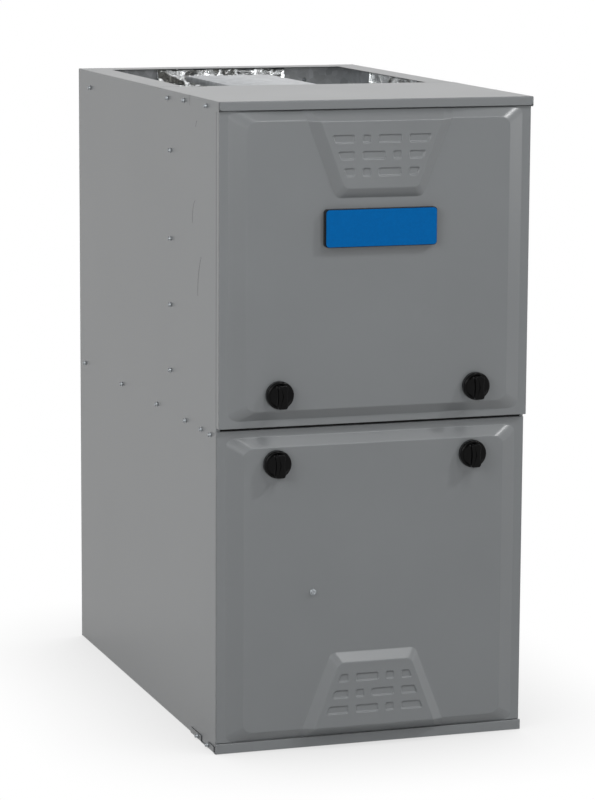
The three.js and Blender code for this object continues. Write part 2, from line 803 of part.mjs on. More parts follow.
function inducerOutline(inset) {
  const { x, z, small, large, outlet } = INDUCER;
  const from = Math.PI / 2;
  const to = from + (Math.PI * 320) / 180;
  const past = inset > 0 ? outlet + 5 : outlet;
  return volute([x, z], small - inset, large - inset, from, to, (arc) => [
    [past, arc[0][1]],
    ...arc,
    [past, arc[arc.length - 1][1]],
  ]);
}

function inducerHousing() {
  const { x, z, front, back, wall } = INDUCER;
  return cut(
    prism(inducerOutline(0), "y", front, back),
    prism(inducerOutline(wall), "y", front + wall, back - wall),
    rod("y", [x, z], AIR_HOLE, back - 5, back + 5),
    rod("y", [x, z], 9, front - 5, front + 5),
  );
}

function inducerWheel() {
  const { radius, front, back, blades } = INDUCER_WHEEL;
  const parts = [
    rod("y", [0, 0], radius, front, front + 2, 24),
    rod("y", [0, 0], 12, front, back, 12),
    rod("y", [0, 0], 4, INDUCER.front - 2, front + 1, 10),
  ];
  for (let i = 0; i < blades; i++) {
    const blade = box([10, radius - 1], [front + 1, back], [-0.8, 0.8]);
    parts.push(blade.rotate([0, (360 * i) / blades, 0]));
  }
  return join(...parts);
}

function inducerMotor() {
  const end = INDUCER.front - 2 - GAP;
  const profile = [
    [0, 100],
    [22, 100],
    [38, 106],
    [40, 112],
    [40, 146],
    [36, end],
    [0, end],
  ];
  const legs = [45, 165, 285].map((angle) =>
    box([30, 56], [end - 6, INDUCER.front - GAP], [-5, 5]).rotate([0, angle, 0]),
  );
  return join(turned(profile, "y", [0, 0], 20), ...legs);
}

function ventElbow() {
  const { z, small, large, outlet } = INDUCER;
  const mouth = z + (large + small * Math.sin((50 * Math.PI) / 180)) / 2;
  const { x, y, high, radius, wall, bend } = VENT;
  const corners = [
    [outlet + GAP, y, mouth],
    [x, y, mouth],
    [x, y, high],
  ];
  return pipe(corners, bend, radius, wall, new THREE.Vector3(0, 1, 0), 16);
}

function pressureSwitch() {
  const { x, z, radius, front, rim, back } = PRESSURE_SWITCH;
  const profile = [
    [0, front],
    [10, front],
    [12, front + 4],
    [radius, rim],
    [radius, back - 4],
    [radius - 5, back],
    [0, back],
  ];
  return join(
    turned(profile, "y", [x, z], 20),
    box([x - 12, x + 12], [back - 2, VESTIBULE.y - GAP], [z - 20, z + 20]),
    rod("y", [x, z], 3, front - 10, front + 1, 8),
  );
}

function condensateTrap() {
  const floor = BLOWER_DECK.z + SHEET + GAP;
  const { left, right, front, back, high, port } = TRAP;
  const x = (left + right) / 2;
  return join(
    box([left, right], [front, back], [floor, high]),
    rod("z", [x, front + 15], port, high - 1, high + 16, 12),
    rod("z", [x, back - 15], port, high - 1, high + 16, 12),
    rod("x", [(front + back) / 2, floor + 34], port, right - 1, right + 14, 12),
  );
}

function topBaffle() {
  const { left, right, back, z, flange } = BAFFLE;
  const front = DECK_REAR + GAP;
  return cut(
    box([left, right], [front, back], [z - flange, z]),
    box([left + SHEET, right - SHEET], [front + SHEET, back + 1], [z - flange - 1, z - SHEET]),
  );
}

function sideInsulation(hand) {
  const { thickness, low, high, front, back } = INSULATION;
  return box(mirrored([INSIDE - thickness, INSIDE], hand), [front, back], [low, high]);
}

function backInsulation() {
  const { thickness, low, high } = INSULATION;
  const back = DEPTH - SHEET - GAP;
  const { left, right } = BACK_INSULATION;
  return box([left, right], [back - thickness, back], [low, high]);
}

// Blower: a volute that blows straight up through the deck

const CUTOFF = (55 * Math.PI) / 180;

function blowerOutline(inset) {
  const { y, z, small, large } = BLOWER;
  const top = BLOWER_DECK.z - GAP + (inset > 0 ? 5 : 0);
  return volute([y, z], small - inset, large - inset, -Math.PI, CUTOFF, (arc) => [
    [arc[0][0], top],
    ...arc,
    [arc[arc.length - 1][0], top],
  ]);
}

function blowerHousing() {
  const { y, z, half, wall, inlet } = BLOWER;
  return cut(
    prism(blowerOutline(0), "x", -half, half),
    prism(blowerOutline(wall), "x", -half + wall, half - wall),
    rod("x", [y, z], inlet, -half - 5, half + 5, 32),
  );
}

function blowerWheel() {
  const { radius, half, blades, blade } = BLOWER_WHEEL;
  const ring = (x) =>
    cut(rod("x", [0, 0], radius, x, x + 4, 24), rod("x", [0, 0], radius - 8, x - 1, x + 5, 24));
  const parts = [
    ring(-half),
    ring(half - 4),
    rod("x", [0, 0], radius - 2, -1, 1, 24),
    rod("x", [0, 0], 20, -12, 12, 16),
    rod("x", [0, 0], 6.35, -14, MOTOR.near - GAP, 12),
  ];
  for (let i = 0; i < blades; i++) {
    const flat = box([-half + 0.5, half - 0.5], [-blade / 2, blade / 2], [-0.7, 0.7]);
    const tilted = flat.rotate([35, 0, 0]).translate([0, radius - blade / 2 - 2, 0]);
    parts.push(tilted.rotate([(360 * i) / blades, 0, 0]));
  }
  return join(...parts);
}

function blowerMotor() {
  const { radius, near, far } = MOTOR;
  const profile = [
    [0, near],
    [24, near],
    [radius - 6, near + 8],
    [radius, near + 14],
    [radius, far - 8],
    [radius - 6, far],
    [0, far],
  ];
  return turned(profile, "x", [0, 0], 28);
}

function motorBracket() {
  const outer = MOTOR.radius + GAP + 2;
  const plane = BLOWER.half + GAP;
  const band = cut(
    rod("x", [0, 0], outer, 108, plane + 3, 28),
    rod("x", [0, 0], MOTOR.radius + GAP, 107, plane + 4, 28),
  );
  const arms = [30, 150, 270].map((angle) =>
    box([plane, plane + 3], [MOTOR.radius + 1, BLOWER.inlet + 22], [-9, 9]).rotate([angle, 0, 0]),
  );
  return join(band, ...arms);
}

// Controls in front of the blower

function controlMountPlate() {
  const top = BLOWER_DECK.z - GAP;
  const { x, y, depth, low } = CONTROL_PLATE;
  return cut(
    box([-x, x], [y, y + depth], [low, top]),
    box([-x - 1, x + 1], [y + SHEET, y + depth + 1], [low - 1, top - SHEET]),
  );
}

function controlBoard() {
  const back = CONTROL_PLATE.y - GAP;
  const { left, right, low, high, stand, thickness } = BOARD;
  const inBoard = back - stand - thickness / 2;
  const board = box([left, right], [back - stand - thickness, back - stand], [low, high]);
  const feet = [left + 8, right - 8].flatMap((x) =>
    [low + 8, high - 8].map((z) => rod("y", [x, z], 3, inBoard, back, 8)),
  );
  const relay = (x) => box([x, x + 28], [back - 25, inBoard], [low + 40, low + 65]);
  const strip = (z) => box([right - 45, right - 15], [back - 12, inBoard], [z, z + 8]);
  const components = [
    relay(left + 10),
    relay(left + 46),
    strip(low + 20),
    strip(low + 45),
    box([left + 85, left + 100], [back - 15, inBoard], [low + 10, high - 15]),
    rod("y", [left + 25, low + 20], 8, back - 24, inBoard, 12),
    rod("y", [left + 50, low + 20], 6, back - 20, inBoard, 12),
  ];
  return join(board, ...feet, ...components);
}

function transformer() {
  const back = CONTROL_PLATE.y - GAP;
  const { x, z } = TRANSFORMER;
  return join(
    box([x - 23, x + 23], [back - 2, back], [z - 33, z + 33]),
    box([x - 19, x + 19], [back - 40, back], [z - 21, z + 21]),
    box([x - 12, x + 12], [back - 46, back - 1], [z - 27, z + 27]),
  );
}

function junctionBox() {
  const { width, front, back, low, high, wall } = JUNCTION_BOX;
  const left = INSIDE - width;
  const knockout = [left + width / 2, (front + back) / 2];
  return cut(
    box([left, INSIDE], [front, back], [low, high]),
    box([left + wall, INSIDE - wall], [front - 1, back - wall], [low + wall, high - wall]),
    rod("z", knockout, 11, low - 1, low + 3, 12),
  );
}

function doorSwitchBody() {
  const { z, front, bore } = DOOR_SWITCH;
  const foot = box([-8, 8], [front + 29, CONTROL_PLATE.y - GAP], [z - 8, z + 8]);
  return cut(
    join(box([-12, 12], [front, front + 30], [z - 12, z + 12]), foot),
    rod("y", [0, z], bore, front - 1, front + 27, 12),
  );
}

function doorSwitchPlunger() {
  const tip = LOWER_DOOR.front - PANEL_RISE + SHEET + 0.5;
  return rod("y", [0, DOOR_SWITCH.z], DOOR_SWITCH.plunger, tip, DOOR_SWITCH.front + 20, 12);
}

place("left_side_panel", sidePanel(), "paint");
place("right_side_panel", sidePanel().mirror([1, 0, 0]), "paint");
place("back_panel", backPanel(), "paint");
place("top_deck", topDeck(), "paint");
place("base_rail", baseRail(), "paint");
place("centre_rail", centreRail(), "galvanised");
place("blower_deck", blowerDeck(), "galvanised");
place("vestibule_panel", vestibulePanel(), "galvanised");
place("back_insulation", backInsulation(), "foil");
place("left_insulation", sideInsulation(-1), "foil");
place("right_insulation", sideInsulation(1), "foil");
place("top_baffle", topBaffle(), "galvanised");

const upper = doorGroup(UPPER_DOOR, true);
place("upper_door", doorSheet(UPPER_DOOR), "paint", upper);
place("upper_door_insulation", doorPad(UPPER_DOOR), "foil", upper);
const lower = doorGroup(LOWER_DOOR, false);
place("lower_door", doorSheet(LOWER_DOOR), "paint", lower);
place("lower_door_insulation", doorPad(LOWER_DOOR), "foil", lower);

for (const side of ["left", "right"]) {
  knobSet(side, "upper", UPPER_DOOR);
  knobSet(side, "lower", LOWER_DOOR);
}
nameplate();
const screwFace = LOWER_DOOR.front - PANEL_RISE - GAP;
const doorScrew = place("lower_door_screw", screwHead(DOOR_SCREW), "zinc");
doorScrew.position.set(DOOR_SCREW.x, screwFace, DOOR_SCREW.z);

cellPlaces().forEach((x, i) => {
  const tube = place(`heat_exchanger_tube_${i + 1}`, heatExchangerTube(), "aluminised");
  tube.position.x = x;
  place(`burner_${i + 1}`, burner(), "aluminised").position.set(x, 0, BURNER_Z);
});
place("transition_box", transitionBox(), "aluminised");
place("secondary_coil", secondaryCoil(), "stainless");
place("collector_box", collectorBox(), "black");
place("burner_box", burnerBox(), "aluminised");
place("gas_manifold", gasManifold(), "darkSteel");
place("gas_valve", gasValve(), "aluminium");
place("gas_valve_switch", gasValveSwitch(), "red");
place("hot_surface_igniter", hotSurfaceIgniter(), "ceramic");
place("flame_sensor", flameSensor(), "ceramic");

place("inducer_housing", inducerHousing(), "darkSteel");
place("inducer_wheel", inducerWheel(), "stainless").position.set(INDUCER.x, 0, INDUCER.z);
place("inducer_motor", inducerMotor(), "darkSteel").position.set(INDUCER.x, 0, INDUCER.z);
place("vent_elbow", ventElbow(), "pvc");
place("pressure_switch", pressureSwitch(), "black");
place("condensate_trap", condensateTrap(), "black");

place("blower_housing", blowerHousing(), "galvanised");
place("blower_wheel", blowerWheel(), "galvanised").position.set(0, BLOWER.y, BLOWER.z);
place("blower_motor", blowerMotor(), "aluminium").position.set(0, BLOWER.y, BLOWER.z);
place("motor_bracket", motorBracket(), "galvanised").position.set(0, BLOWER.y, BLOWER.z);
place("control_mount_plate", controlMountPlate(), "galvanised");
place("control_board", controlBoard(), "board");
place("transformer", transformer(), "darkSteel");
place("junction_box", junctionBox(), "galvanised");
place("door_switch_body", doorSwitchBody(), "black");
place("door_switch_plunger", doorSwitchPlunger(), "black");

// The footprint runs from the upper knobs' faces to the back panel
const FOREMOST = UPPER_DOOR.front - PANEL_RISE - GAP - KNOB_HEIGHT;
furnace.position.y = -(DEPTH + FOREMOST) / 2;

export default furnace;
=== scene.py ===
"""An upflow gas furnace: a grey sheet-metal cabinet, two pressed doors, black knobs and a blue nameplate."""

import json
import math
from contextlib import contextmanager

import bmesh
import bpy
from mathutils import Matrix, Vector


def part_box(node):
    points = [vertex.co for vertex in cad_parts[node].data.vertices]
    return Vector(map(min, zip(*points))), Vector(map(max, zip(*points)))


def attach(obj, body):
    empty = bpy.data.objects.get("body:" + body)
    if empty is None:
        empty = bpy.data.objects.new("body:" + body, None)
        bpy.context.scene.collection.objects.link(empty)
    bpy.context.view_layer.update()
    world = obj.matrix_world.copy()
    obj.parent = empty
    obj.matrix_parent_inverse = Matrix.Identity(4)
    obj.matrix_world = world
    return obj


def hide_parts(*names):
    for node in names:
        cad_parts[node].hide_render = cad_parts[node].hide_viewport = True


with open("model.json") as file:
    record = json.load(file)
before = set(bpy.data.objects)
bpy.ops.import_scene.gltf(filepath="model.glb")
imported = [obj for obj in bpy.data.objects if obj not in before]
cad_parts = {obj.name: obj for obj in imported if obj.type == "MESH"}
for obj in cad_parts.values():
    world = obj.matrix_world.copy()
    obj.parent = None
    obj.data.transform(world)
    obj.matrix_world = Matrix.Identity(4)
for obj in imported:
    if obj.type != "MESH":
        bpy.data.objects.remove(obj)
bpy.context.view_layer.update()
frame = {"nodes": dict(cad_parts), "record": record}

MM = 0.001

# The camera stands where the photograph was taken from
CAMERA_PLACE = (-1.46325, -4.3868, 1.1924)
CAMERA_AZIMUTH = 18.516
CAMERA_ELEVATION = 9.42
CAMERA_ROLL = 0.311
CAMERA_LENS = 144.2

# Lamps: azimuth from the front towards the right, elevation, distance, width and height in metres, and watts
LAMPS = {
    "key": (50, 38, 4.5, 0.4, 0.4, 42.0),
    "softbox": (21, 46, 4.5, 0.4, 1.8, 30.0),
    "right": (75, 10, 4.5, 1.0, 1.6, 16.0),
    "left": (-46, 20, 2.8, 1.2, 1.2, 19.0),
    "front": (-10, 10, 5.0, 1.6, 0.8, 20.0),
    "strip": (-72, -2, 4.5, 0.5, 1.6, 5.0),
    "back": (175, 6, 5.0, 1.6, 1.6, 32.0),
}
LAMPS_WITHOUT_HIGHLIGHT = ("back",)
LAMP_TARGET = Vector((0.0, 0.0, 0.45))
WORLD_LEVEL = 0.08
FLOOR_SHADOW = 0.4
SHADOW_REACH = 0.25

# Doors, in millimetres from the outer end of each: the top of the upper one and the foot of the lower one
PANEL_RISE = 11.0
PANEL_FOOT = {"end": 1.0, "inner": 10.0, "half": 209.5}
PANEL_TOP = {"end": 14.0, "inner": 23.5, "half": 187.0}
PANEL_CORNER = 10.0
SHIELD_RISE = 9.0
SHIELD_FOOT = {"end": 8.0, "far": 118.5, "wide": 105.0, "narrow": 61.5}
SHIELD_TOP = {"end": 15.0, "far": 105.0, "wide": 86.5, "narrow": 52.5}
SHIELD_CORNER = 6.0
SHIELD_INSET = 6.0
SHIELD_END_FOOT = 95.0
RIDGE_RADIUS = 4.4
HOLLOW_RADIUS = 5.5
BORDER_RADIUS = 1.2
DOOR_SHY = 0.3
WINDOW_ROWS = (39.0, 61.0, 83.5)
WINDOW_HEIGHT = 12.5
WINDOW_DEPTH = 2.2
WINDOW_CORNER = 2.8
WINDOW_EDGE = 37.7
WINDOW_OUTER = (69.0, 61.0, 52.8)
WINDOW_SLANT = 0.36
WINDOW_SHORT = 13.4
WINDOW_LONG = 34.2
WINDOW_BETWEEN = 9.3
WINDOW_WALL = 2.0
WINDOW_SOFTNESS = 0.9
WINDOW_FIELD = {"half": 75.0, "low": 30.0, "high": 92.0}
SHEET = 1.0
KNOB_X = 141.0
KNOB_FROM_JOINT = 46.0
KNOB_HOLE = 5.0

# Knobs: a disc with a grooved face, and on it a bar with a waist
SHAFT_RADIUS = 4.0
DISC_HEIGHT = 9.0
DISC_EDGE = 2.4
DISC_RIM = 1.0
DISC_GROOVE = {"width": 0.5, "depth": 0.6}
GRIP_HEIGHT = 10.7
GRIP_LENGTH = 32.0
GRIP_MIDDLE = -1.0
GRIP_WIDTH = 15.0
GRIP_WAIST = 11.0
GRIP_ROUNDING = {"waist": 6.0, "end": 4.5, "edge": 1.1}

# Nameplate, and the black strip shaped like a gasket behind the joint of the doors, which paints the shade in
# the gap
# between them: the radii of their corners and of their front edges, and how far the strip stays inside the
# centre rail
CARRIER_ROUNDING = (5.0, 0.4)
FACE_ROUNDING = (4.6, 0.35)
SEAM_SHADE_ROUNDING = (2.0, 0.4)
SEAM_SHADE_MARGIN = 4.0
SEAM_SHADE_GAP = 0.1
SEAM_SHADE_THICKNESS = 1.4

# Casing of folded sheet; the breaks between the deck's side tabs are measured from its front edge
SHEET_GAP = 0.3
FOLD_RADIUS = 1.6
FRONT_FLANGE = 25.0
FOOT_FLANGE = 25.0
OUTLET_FLANGE = 40.0
UNDER_DECK = 1.3
DECK_LIP = 12.0
DECK_TAB = 14.0
DECK_TAB_BREAKS = (134.5, 135.5, 275.0)
DECK_REAR_FLANGE = 24.0
DECK_FLANGE_INSET = 2.0
DECK_CORNER = 2.5
DECK_SLOT = {"left": -175.0, "from_rear": 13.0, "length": 24.0, "width": 6.0}
DECK_SLOT_CORNER = 2.4
DECK_SLOT_EDGE = 0.4

# Base rail, measured from the casing's front edge: a strip across the front, and an arm along each side
RAIL_FORWARD = 4.0
RAIL_TOP_FOLD = 3.7
RAIL_DEPTH = 60.0
RAIL_FIRST_TAB = (6.0, 33.0)
RAIL_SECOND_TAB = 66.0
RAIL_TAB_HEIGHT = 8.5
RAIL_ARM_WIDTH = 26.0
RAIL_ARM_LAP = 0.5
RAIL_FOLD_RADIUS = 1.0

# Small screws of the casing, as (distance from the casing's front edge, height) on each side, in millimetres
SIDE_SCREWS = (
    (651, 864), (218, 806), (218, 683), (218, 590), (218, 497.5),
    (26, 438), (69, 438), (144, 438), (287, 438), (475, 438), (688, 438),
)
TAB_SCREWS = ((227, 877.6), (147, 880), (42, 880), (82, 4.2), (33, 4.2))
BACK_SCREWS = (40, 180, 320, 460, 600, 740, 850)
BACK_SCREW_INSET = 12.0
OUTLET_SCREW = (141, 866)

# Pipe knockouts of the left side: the middle of each as above, its radius, the angles between which its cut
# stands open, and the width of that gap, drawn as a dark strip of painted shade
KNOCKOUTS = ((81.0, 723.6, 29.7, -15, 57), (0.3, 624.0, 85.2, -3, 36), (70.0, 835.0, 29.0, 25, 49))
KNOCKOUT_SHADE_WIDTH = 0.5

# Foil on the insulation: the distance between two creases of its coarse and its fine crumpling, and their depth
CRUMPLE = ((0.032, 8.0), (0.012, 2.4))
FOIL_STEP = 3.0


# Modelling by hand

def alone(piece):
    """Only this piece is selected, and it is the active one."""
    bpy.ops.object.select_all(action="DESELECT")
    piece.select_set(True)
    bpy.context.view_layer.objects.active = piece


def named(name):
    """Names the piece that was just added, and settles its place into its mesh."""
    piece = bpy.context.active_object
    piece.name = name
    piece.data.name = name
    alone(piece)
    bpy.ops.object.transform_apply(location=True, rotation=True, scale=True)
    return piece


@contextmanager
def editing(piece):
    alone(piece)
    bpy.ops.object.mode_set(mode="EDIT")
    yield
    bpy.ops.object.mode_set(mode="OBJECT")


def middle(element):
    """The middle of a vertex, an edge or a face."""
    if isinstance(element, bmesh.types.BMVert):
        return element.co
    return sum((v.co for v in element.verts), Vector()) / len(element.verts)


def pick(kind, test):
    """Selects the VERT, EDGE or FACE elements of the edited mesh that pass the test."""
    mesh = bpy.context.edit_object.data
    bpy.ops.mesh.select_mode(type=kind)
    bpy.ops.mesh.select_all(action="DESELECT")
    edited = bmesh.from_edit_mesh(mesh)
    edited.normal_update()
    for element in {"VERT": edited.verts, "EDGE": edited.edges, "FACE": edited.faces}[kind]:
        if test(element):
            element.select_set(True)
    edited.select_flush_mode()
    bmesh.update_edit_mesh(mesh)


def sharp(edge, degrees):
    return len(edge.link_faces) == 2 and edge.calc_face_angle(0.0) > math.radians(degrees)


def apply(piece, kind, **settings):
    """Adds a modifier with its settings and applies it."""
    alone(piece)
    modifier = piece.modifiers.new(kind.title(), kind)
    for key, value in settings.items():
        setattr(modifier, key, value)
    bpy.ops.object.modifier_apply(modifier=modifier.name)


def combine(piece, other, operation):
    """Joins another piece to this one, or cuts it away, and removes it."""
    apply(piece, "BOOLEAN", object=other, operation=operation, solver="EXACT")
    bpy.data.objects.remove(other)


def joined(pieces, name):
    alone(pieces[0])
    for piece in pieces:
        piece.select_set(True)
    bpy.ops.object.join()
    return named(name)


def outward(piece):
    with editing(piece):
        bpy.ops.mesh.select_all(action="SELECT")
        bpy.ops.mesh.normals_make_consistent(inside=False)


def smooth(piece):
    """Smooth shading that keeps the flat faces flat."""
    alone(piece)
    bpy.ops.object.shade_smooth()
    apply(piece, "WEIGHTED_NORMAL", weight=90, keep_sharp=True)


def extrude(move):
    bpy.ops.mesh.extrude_region_move(TRANSFORM_OT_translate={"value": move})


def cut_across(place, normal):
    """Divides the edited sheet along a plane."""
    bpy.ops.mesh.select_all(action="SELECT")
    bpy.ops.mesh.bisect(plane_co=place, plane_no=normal)


def near(a, b, tolerance=0.05 * MM):
    return abs(a - b) < tolerance


def front_sheet(name, half_width, low, high, y):
    """A flat sheet that faces -Y, in millimetres."""
    place = (0.0, y * MM, (low + high) / 2 * MM)
    bpy.ops.mesh.primitive_plane_add(size=1.0, location=place, rotation=(math.pi / 2, 0.0, 0.0))
    bpy.context.active_object.scale = (2 * half_width * MM, (high - low) * MM, 1.0)
    return named(name)


def tube(name, axis, centre, radius, low, high, sides=48):
    """A round bar along an axis, in millimetres; centre is its place across the axis."""
    turns = {"x": (0.0, math.pi / 2, 0.0), "y": (math.pi / 2, 0.0, 0.0), "z": (0.0, 0.0, 0.0)}
    along = (low + high) / 2
    place = {
        "x": (along, centre[0], centre[1]),
        "y": (centre[0], along, centre[1]),
        "z": (centre[0], centre[1], along),
    }[axis]
    bpy.ops.mesh.primitive_cylinder_add(
        vertices=sides, radius=radius * MM, depth=(high - low) * MM,
        location=Vector(place) * MM, rotation=turns[axis],
    )
    return named(name)


# Doors

def edge_from_to(edge, a, b):
    """Whether an edge runs between two kinds of corner."""
    start, end = (v.co for v in edge.verts)
    return (a(start) and b(end)) or (a(end) and b(start))


def slide(test, place):
    """Moves the one picked corner of the edited mesh to a place in millimetres."""
    pick("VERT", test)
    edited = bmesh.from_edit_mesh(bpy.context.edit_object.data)
    corner = next(v for v in edited.verts if v.select)
    bpy.ops.transform.translate(value=Vector(place) * MM - corner.co)


def press_panel(door, length):
    """Draws the panel out of the flat door, with round corners."""
    half, far = PANEL_FOOT["half"] * MM, (length - PANEL_FOOT["inner"]) * MM
    out = -PANEL_RISE * MM
    raised = lambda v: near(v.co.y, out)
    with editing(door):
        cut_across((-half, 0.0, 0.0), (1.0, 0.0, 0.0))
        cut_across((half, 0.0, 0.0), (1.0, 0.0, 0.0))
        cut_across((0.0, 0.0, far), (0.0, 0.0, 1.0))
        pick("FACE", lambda f: abs(middle(f).x) < half and middle(f).z < far)
        extrude((0.0, out, 0.0))
        pick("VERT", lambda v: raised(v) and v.co.z < MM)
        bpy.ops.transform.translate(value=(0.0, 0.0, PANEL_TOP["end"] * MM))
        pick("VERT", lambda v: raised(v) and near(v.co.z, far))
        bpy.ops.transform.translate(value=(0.0, 0.0, (PANEL_FOOT["inner"] - PANEL_TOP["inner"]) * MM))
        pick("VERT", raised)
        bpy.ops.transform.resize(value=(PANEL_TOP["half"] / PANEL_FOOT["half"], 1.0, 1.0))
        bpy.ops.mesh.select_all(action="SELECT")
        bpy.ops.mesh.dissolve_limited(angle_limit=math.radians(1.0))
        at_foot = lambda p: near(p.y, 0.0)
        at_ridge = lambda p: near(p.y, out)
        pick("EDGE", lambda e: edge_from_to(e, at_foot, at_ridge))
        bpy.ops.mesh.bevel(offset=PANEL_CORNER * MM, segments=6)


def press_shield(door):
    """Draws the shield out of the panel: its outline is cut in, inset, and its middle is pulled out."""
    out, top = -PANEL_RISE * MM, -(PANEL_RISE + SHIELD_RISE) * MM
    far = SHIELD_FOOT["far"] * MM
    half_way = far / 2
    lean = (SHIELD_FOOT["wide"] - SHIELD_FOOT["narrow"]) / (SHIELD_FOOT["far"] - SHIELD_FOOT["end"])
    half_at = lambda z: SHIELD_FOOT["narrow"] * MM + (far - z) * lean
    on_panel = lambda p: near(p.y, out) and p.z < far + MM
    inside = lambda p, inset=0.0: abs(p.x) < half_at(p.z) - inset
    in_slope = lambda p: p.z < PANEL_TOP["end"] * MM and out < p.y < 0.0
    with editing(door):
        pick("FACE", lambda f: f.normal.y < -0.999 and near(middle(f).y, out))
        bpy.ops.mesh.bisect(plane_co=(0.0, 0.0, far), plane_no=(0.0, 0.0, 1.0))
        for side in (-1, 1):
            flat = lambda f: f.normal.y < -0.999 and on_panel(middle(f)) and middle(f).z < far
            slope = lambda f: in_slope(middle(f)) and abs(f.normal.x) < 0.01
            pick("FACE", lambda f: flat(f) or slope(f))
            foot = (side * half_at(0.0), 0.0, 0.0)
            bpy.ops.mesh.bisect(plane_co=foot, plane_no=(side, 0.0, lean))
        on_flat = lambda p: p.z < far and p.y < 0.5 * out and inside(p, SHIELD_INSET * MM)
        on_slope = lambda p: in_slope(p) and inside(p)
        pick("FACE", lambda f: on_flat(middle(f)) or on_slope(middle(f)))
        bpy.ops.mesh.inset(thickness=SHIELD_INSET * MM, use_boundary=False)
        for side in (-1, 1):
            inner = lambda v: v.co.x * side > 0 and inside(v.co, 0.5 * SHIELD_INSET * MM)
            slide(lambda v: inner(v) and near(v.co.z, 0.0), (side * SHIELD_END_FOOT, 0.0, 0.0))
            ridge = lambda v: inner(v) and MM < v.co.z < half_way
            slide(ridge, (side * SHIELD_TOP["wide"], top / MM, SHIELD_TOP["end"]))
            tip = lambda v: inner(v) and half_way < v.co.z < far - MM
            slide(tip, (side * SHIELD_TOP["narrow"], top / MM, SHIELD_TOP["far"]))
        at_tip = lambda p: near(p.y, top) and p.z > half_way
        at_foot = lambda p: near(p.z, far)
        pick("EDGE", lambda e: edge_from_to(e, at_tip, at_foot))
        bpy.ops.mesh.bevel(offset=SHIELD_CORNER * MM, segments=5)


def round_press_lines(door):
    """Rounds the lines of the pressing: tightly where it turns outwards, widely where it turns inwards."""
    with editing(door):
        for turn, weight in ((1, RIDGE_RADIUS / HOLLOW_RADIUS), (-1, 1.0)):
            pick("EDGE", lambda e: sharp(e, 6) and (1 if e.is_convex else -1) == turn)
            bpy.ops.transform.edge_bevelweight(value=weight)
    apply(door, "BEVEL", width=HOLLOW_RADIUS * MM, segments=5, limit_method="WEIGHT")


def window_outlines():
    """(left, right, middle of the row, slant of the left side, slant of the right side) of each window."""
    half = (WINDOW_SHORT + WINDOW_LONG + WINDOW_BETWEEN) / 2
    outlines = []
    for index, (row, outer) in enumerate(zip(WINDOW_ROWS, WINDOW_OUTER)):
        split = -half + (WINDOW_SHORT if index == 1 else WINDOW_LONG)
        outlines += [
            (-outer, -WINDOW_EDGE, row, WINDOW_SLANT, 0.0),
            (-half, split, row, 0.0, 0.0),
            (split + WINDOW_BETWEEN, half, row, 0.0, 0.0),
            (WINDOW_EDGE, outer, row, 0.0, -WINDOW_SLANT),
        ]
    return outlines


def window_cutter(outline, top, number):
    left, right, row, left_slant, right_slant = outline
    centre = (left + right) / 2
    low, high = row - WINDOW_HEIGHT / 2, row + WINDOW_HEIGHT / 2
    piece = front_sheet(f"window_{number}", (right - left) / 2, low, high, top - 1.0)
    inset = 2 * WINDOW_WALL
    with editing(piece):
        bpy.ops.mesh.select_all(action="SELECT")
        bpy.ops.transform.translate(value=(centre * MM, 0.0, 0.0))
        for side, slant in ((-1, left_slant), (1, right_slant)):
            for end in (-1, 1):
                pick("VERT", lambda v: (v.co.x / MM - centre) * side > 0 and (v.co.z / MM - row) * end > 0)
                bpy.ops.transform.translate(value=(slant * WINDOW_HEIGHT / 2 * end * MM, 0.0, 0.0))
        bpy.ops.mesh.select_all(action="SELECT")
        bpy.ops.mesh.bevel(offset=WINDOW_CORNER * MM, segments=5, affect="VERTICES")
        bpy.ops.mesh.select_all(action="SELECT")
        extrude((0.0, (1.0 + WINDOW_DEPTH) * MM, 0.0))
        shrink_x = 1.0 - inset / (right - left)
        shrink_z = 1.0 - inset / WINDOW_HEIGHT
        bpy.ops.transform.resize(value=(shrink_x, 1.0, shrink_z))
    outward(piece)
    return piece


def press_windows(door, back):
    """Sinks the windows into the shield while the door is a closed solid."""
    shield_top = -(PANEL_RISE + SHIELD_RISE)
    with editing(door):
        pick("EDGE", lambda e: e.is_boundary)
        extrude((0.0, back, 0.0))
        bpy.ops.mesh.edge_face_add()
    outward(door)
    cutters = [window_cutter(outline, shield_top, i) for i, outline in enumerate(window_outlines())]
    combine(door, joined(cutters, "windows"), "DIFFERENCE")
    beside = lambda p: abs(p.x) < WINDOW_FIELD["half"] * MM and p.y < (shield_top + 2.5) * MM
    in_rows = lambda p: WINDOW_FIELD["low"] * MM < p.z < WINDOW_FIELD["high"] * MM
    with editing(door):
        pick("EDGE", lambda e: sharp(e, 20) and beside(middle(e)) and in_rows(middle(e)))
        bpy.ops.mesh.bevel(offset=WINDOW_SOFTNESS * MM, segments=3)


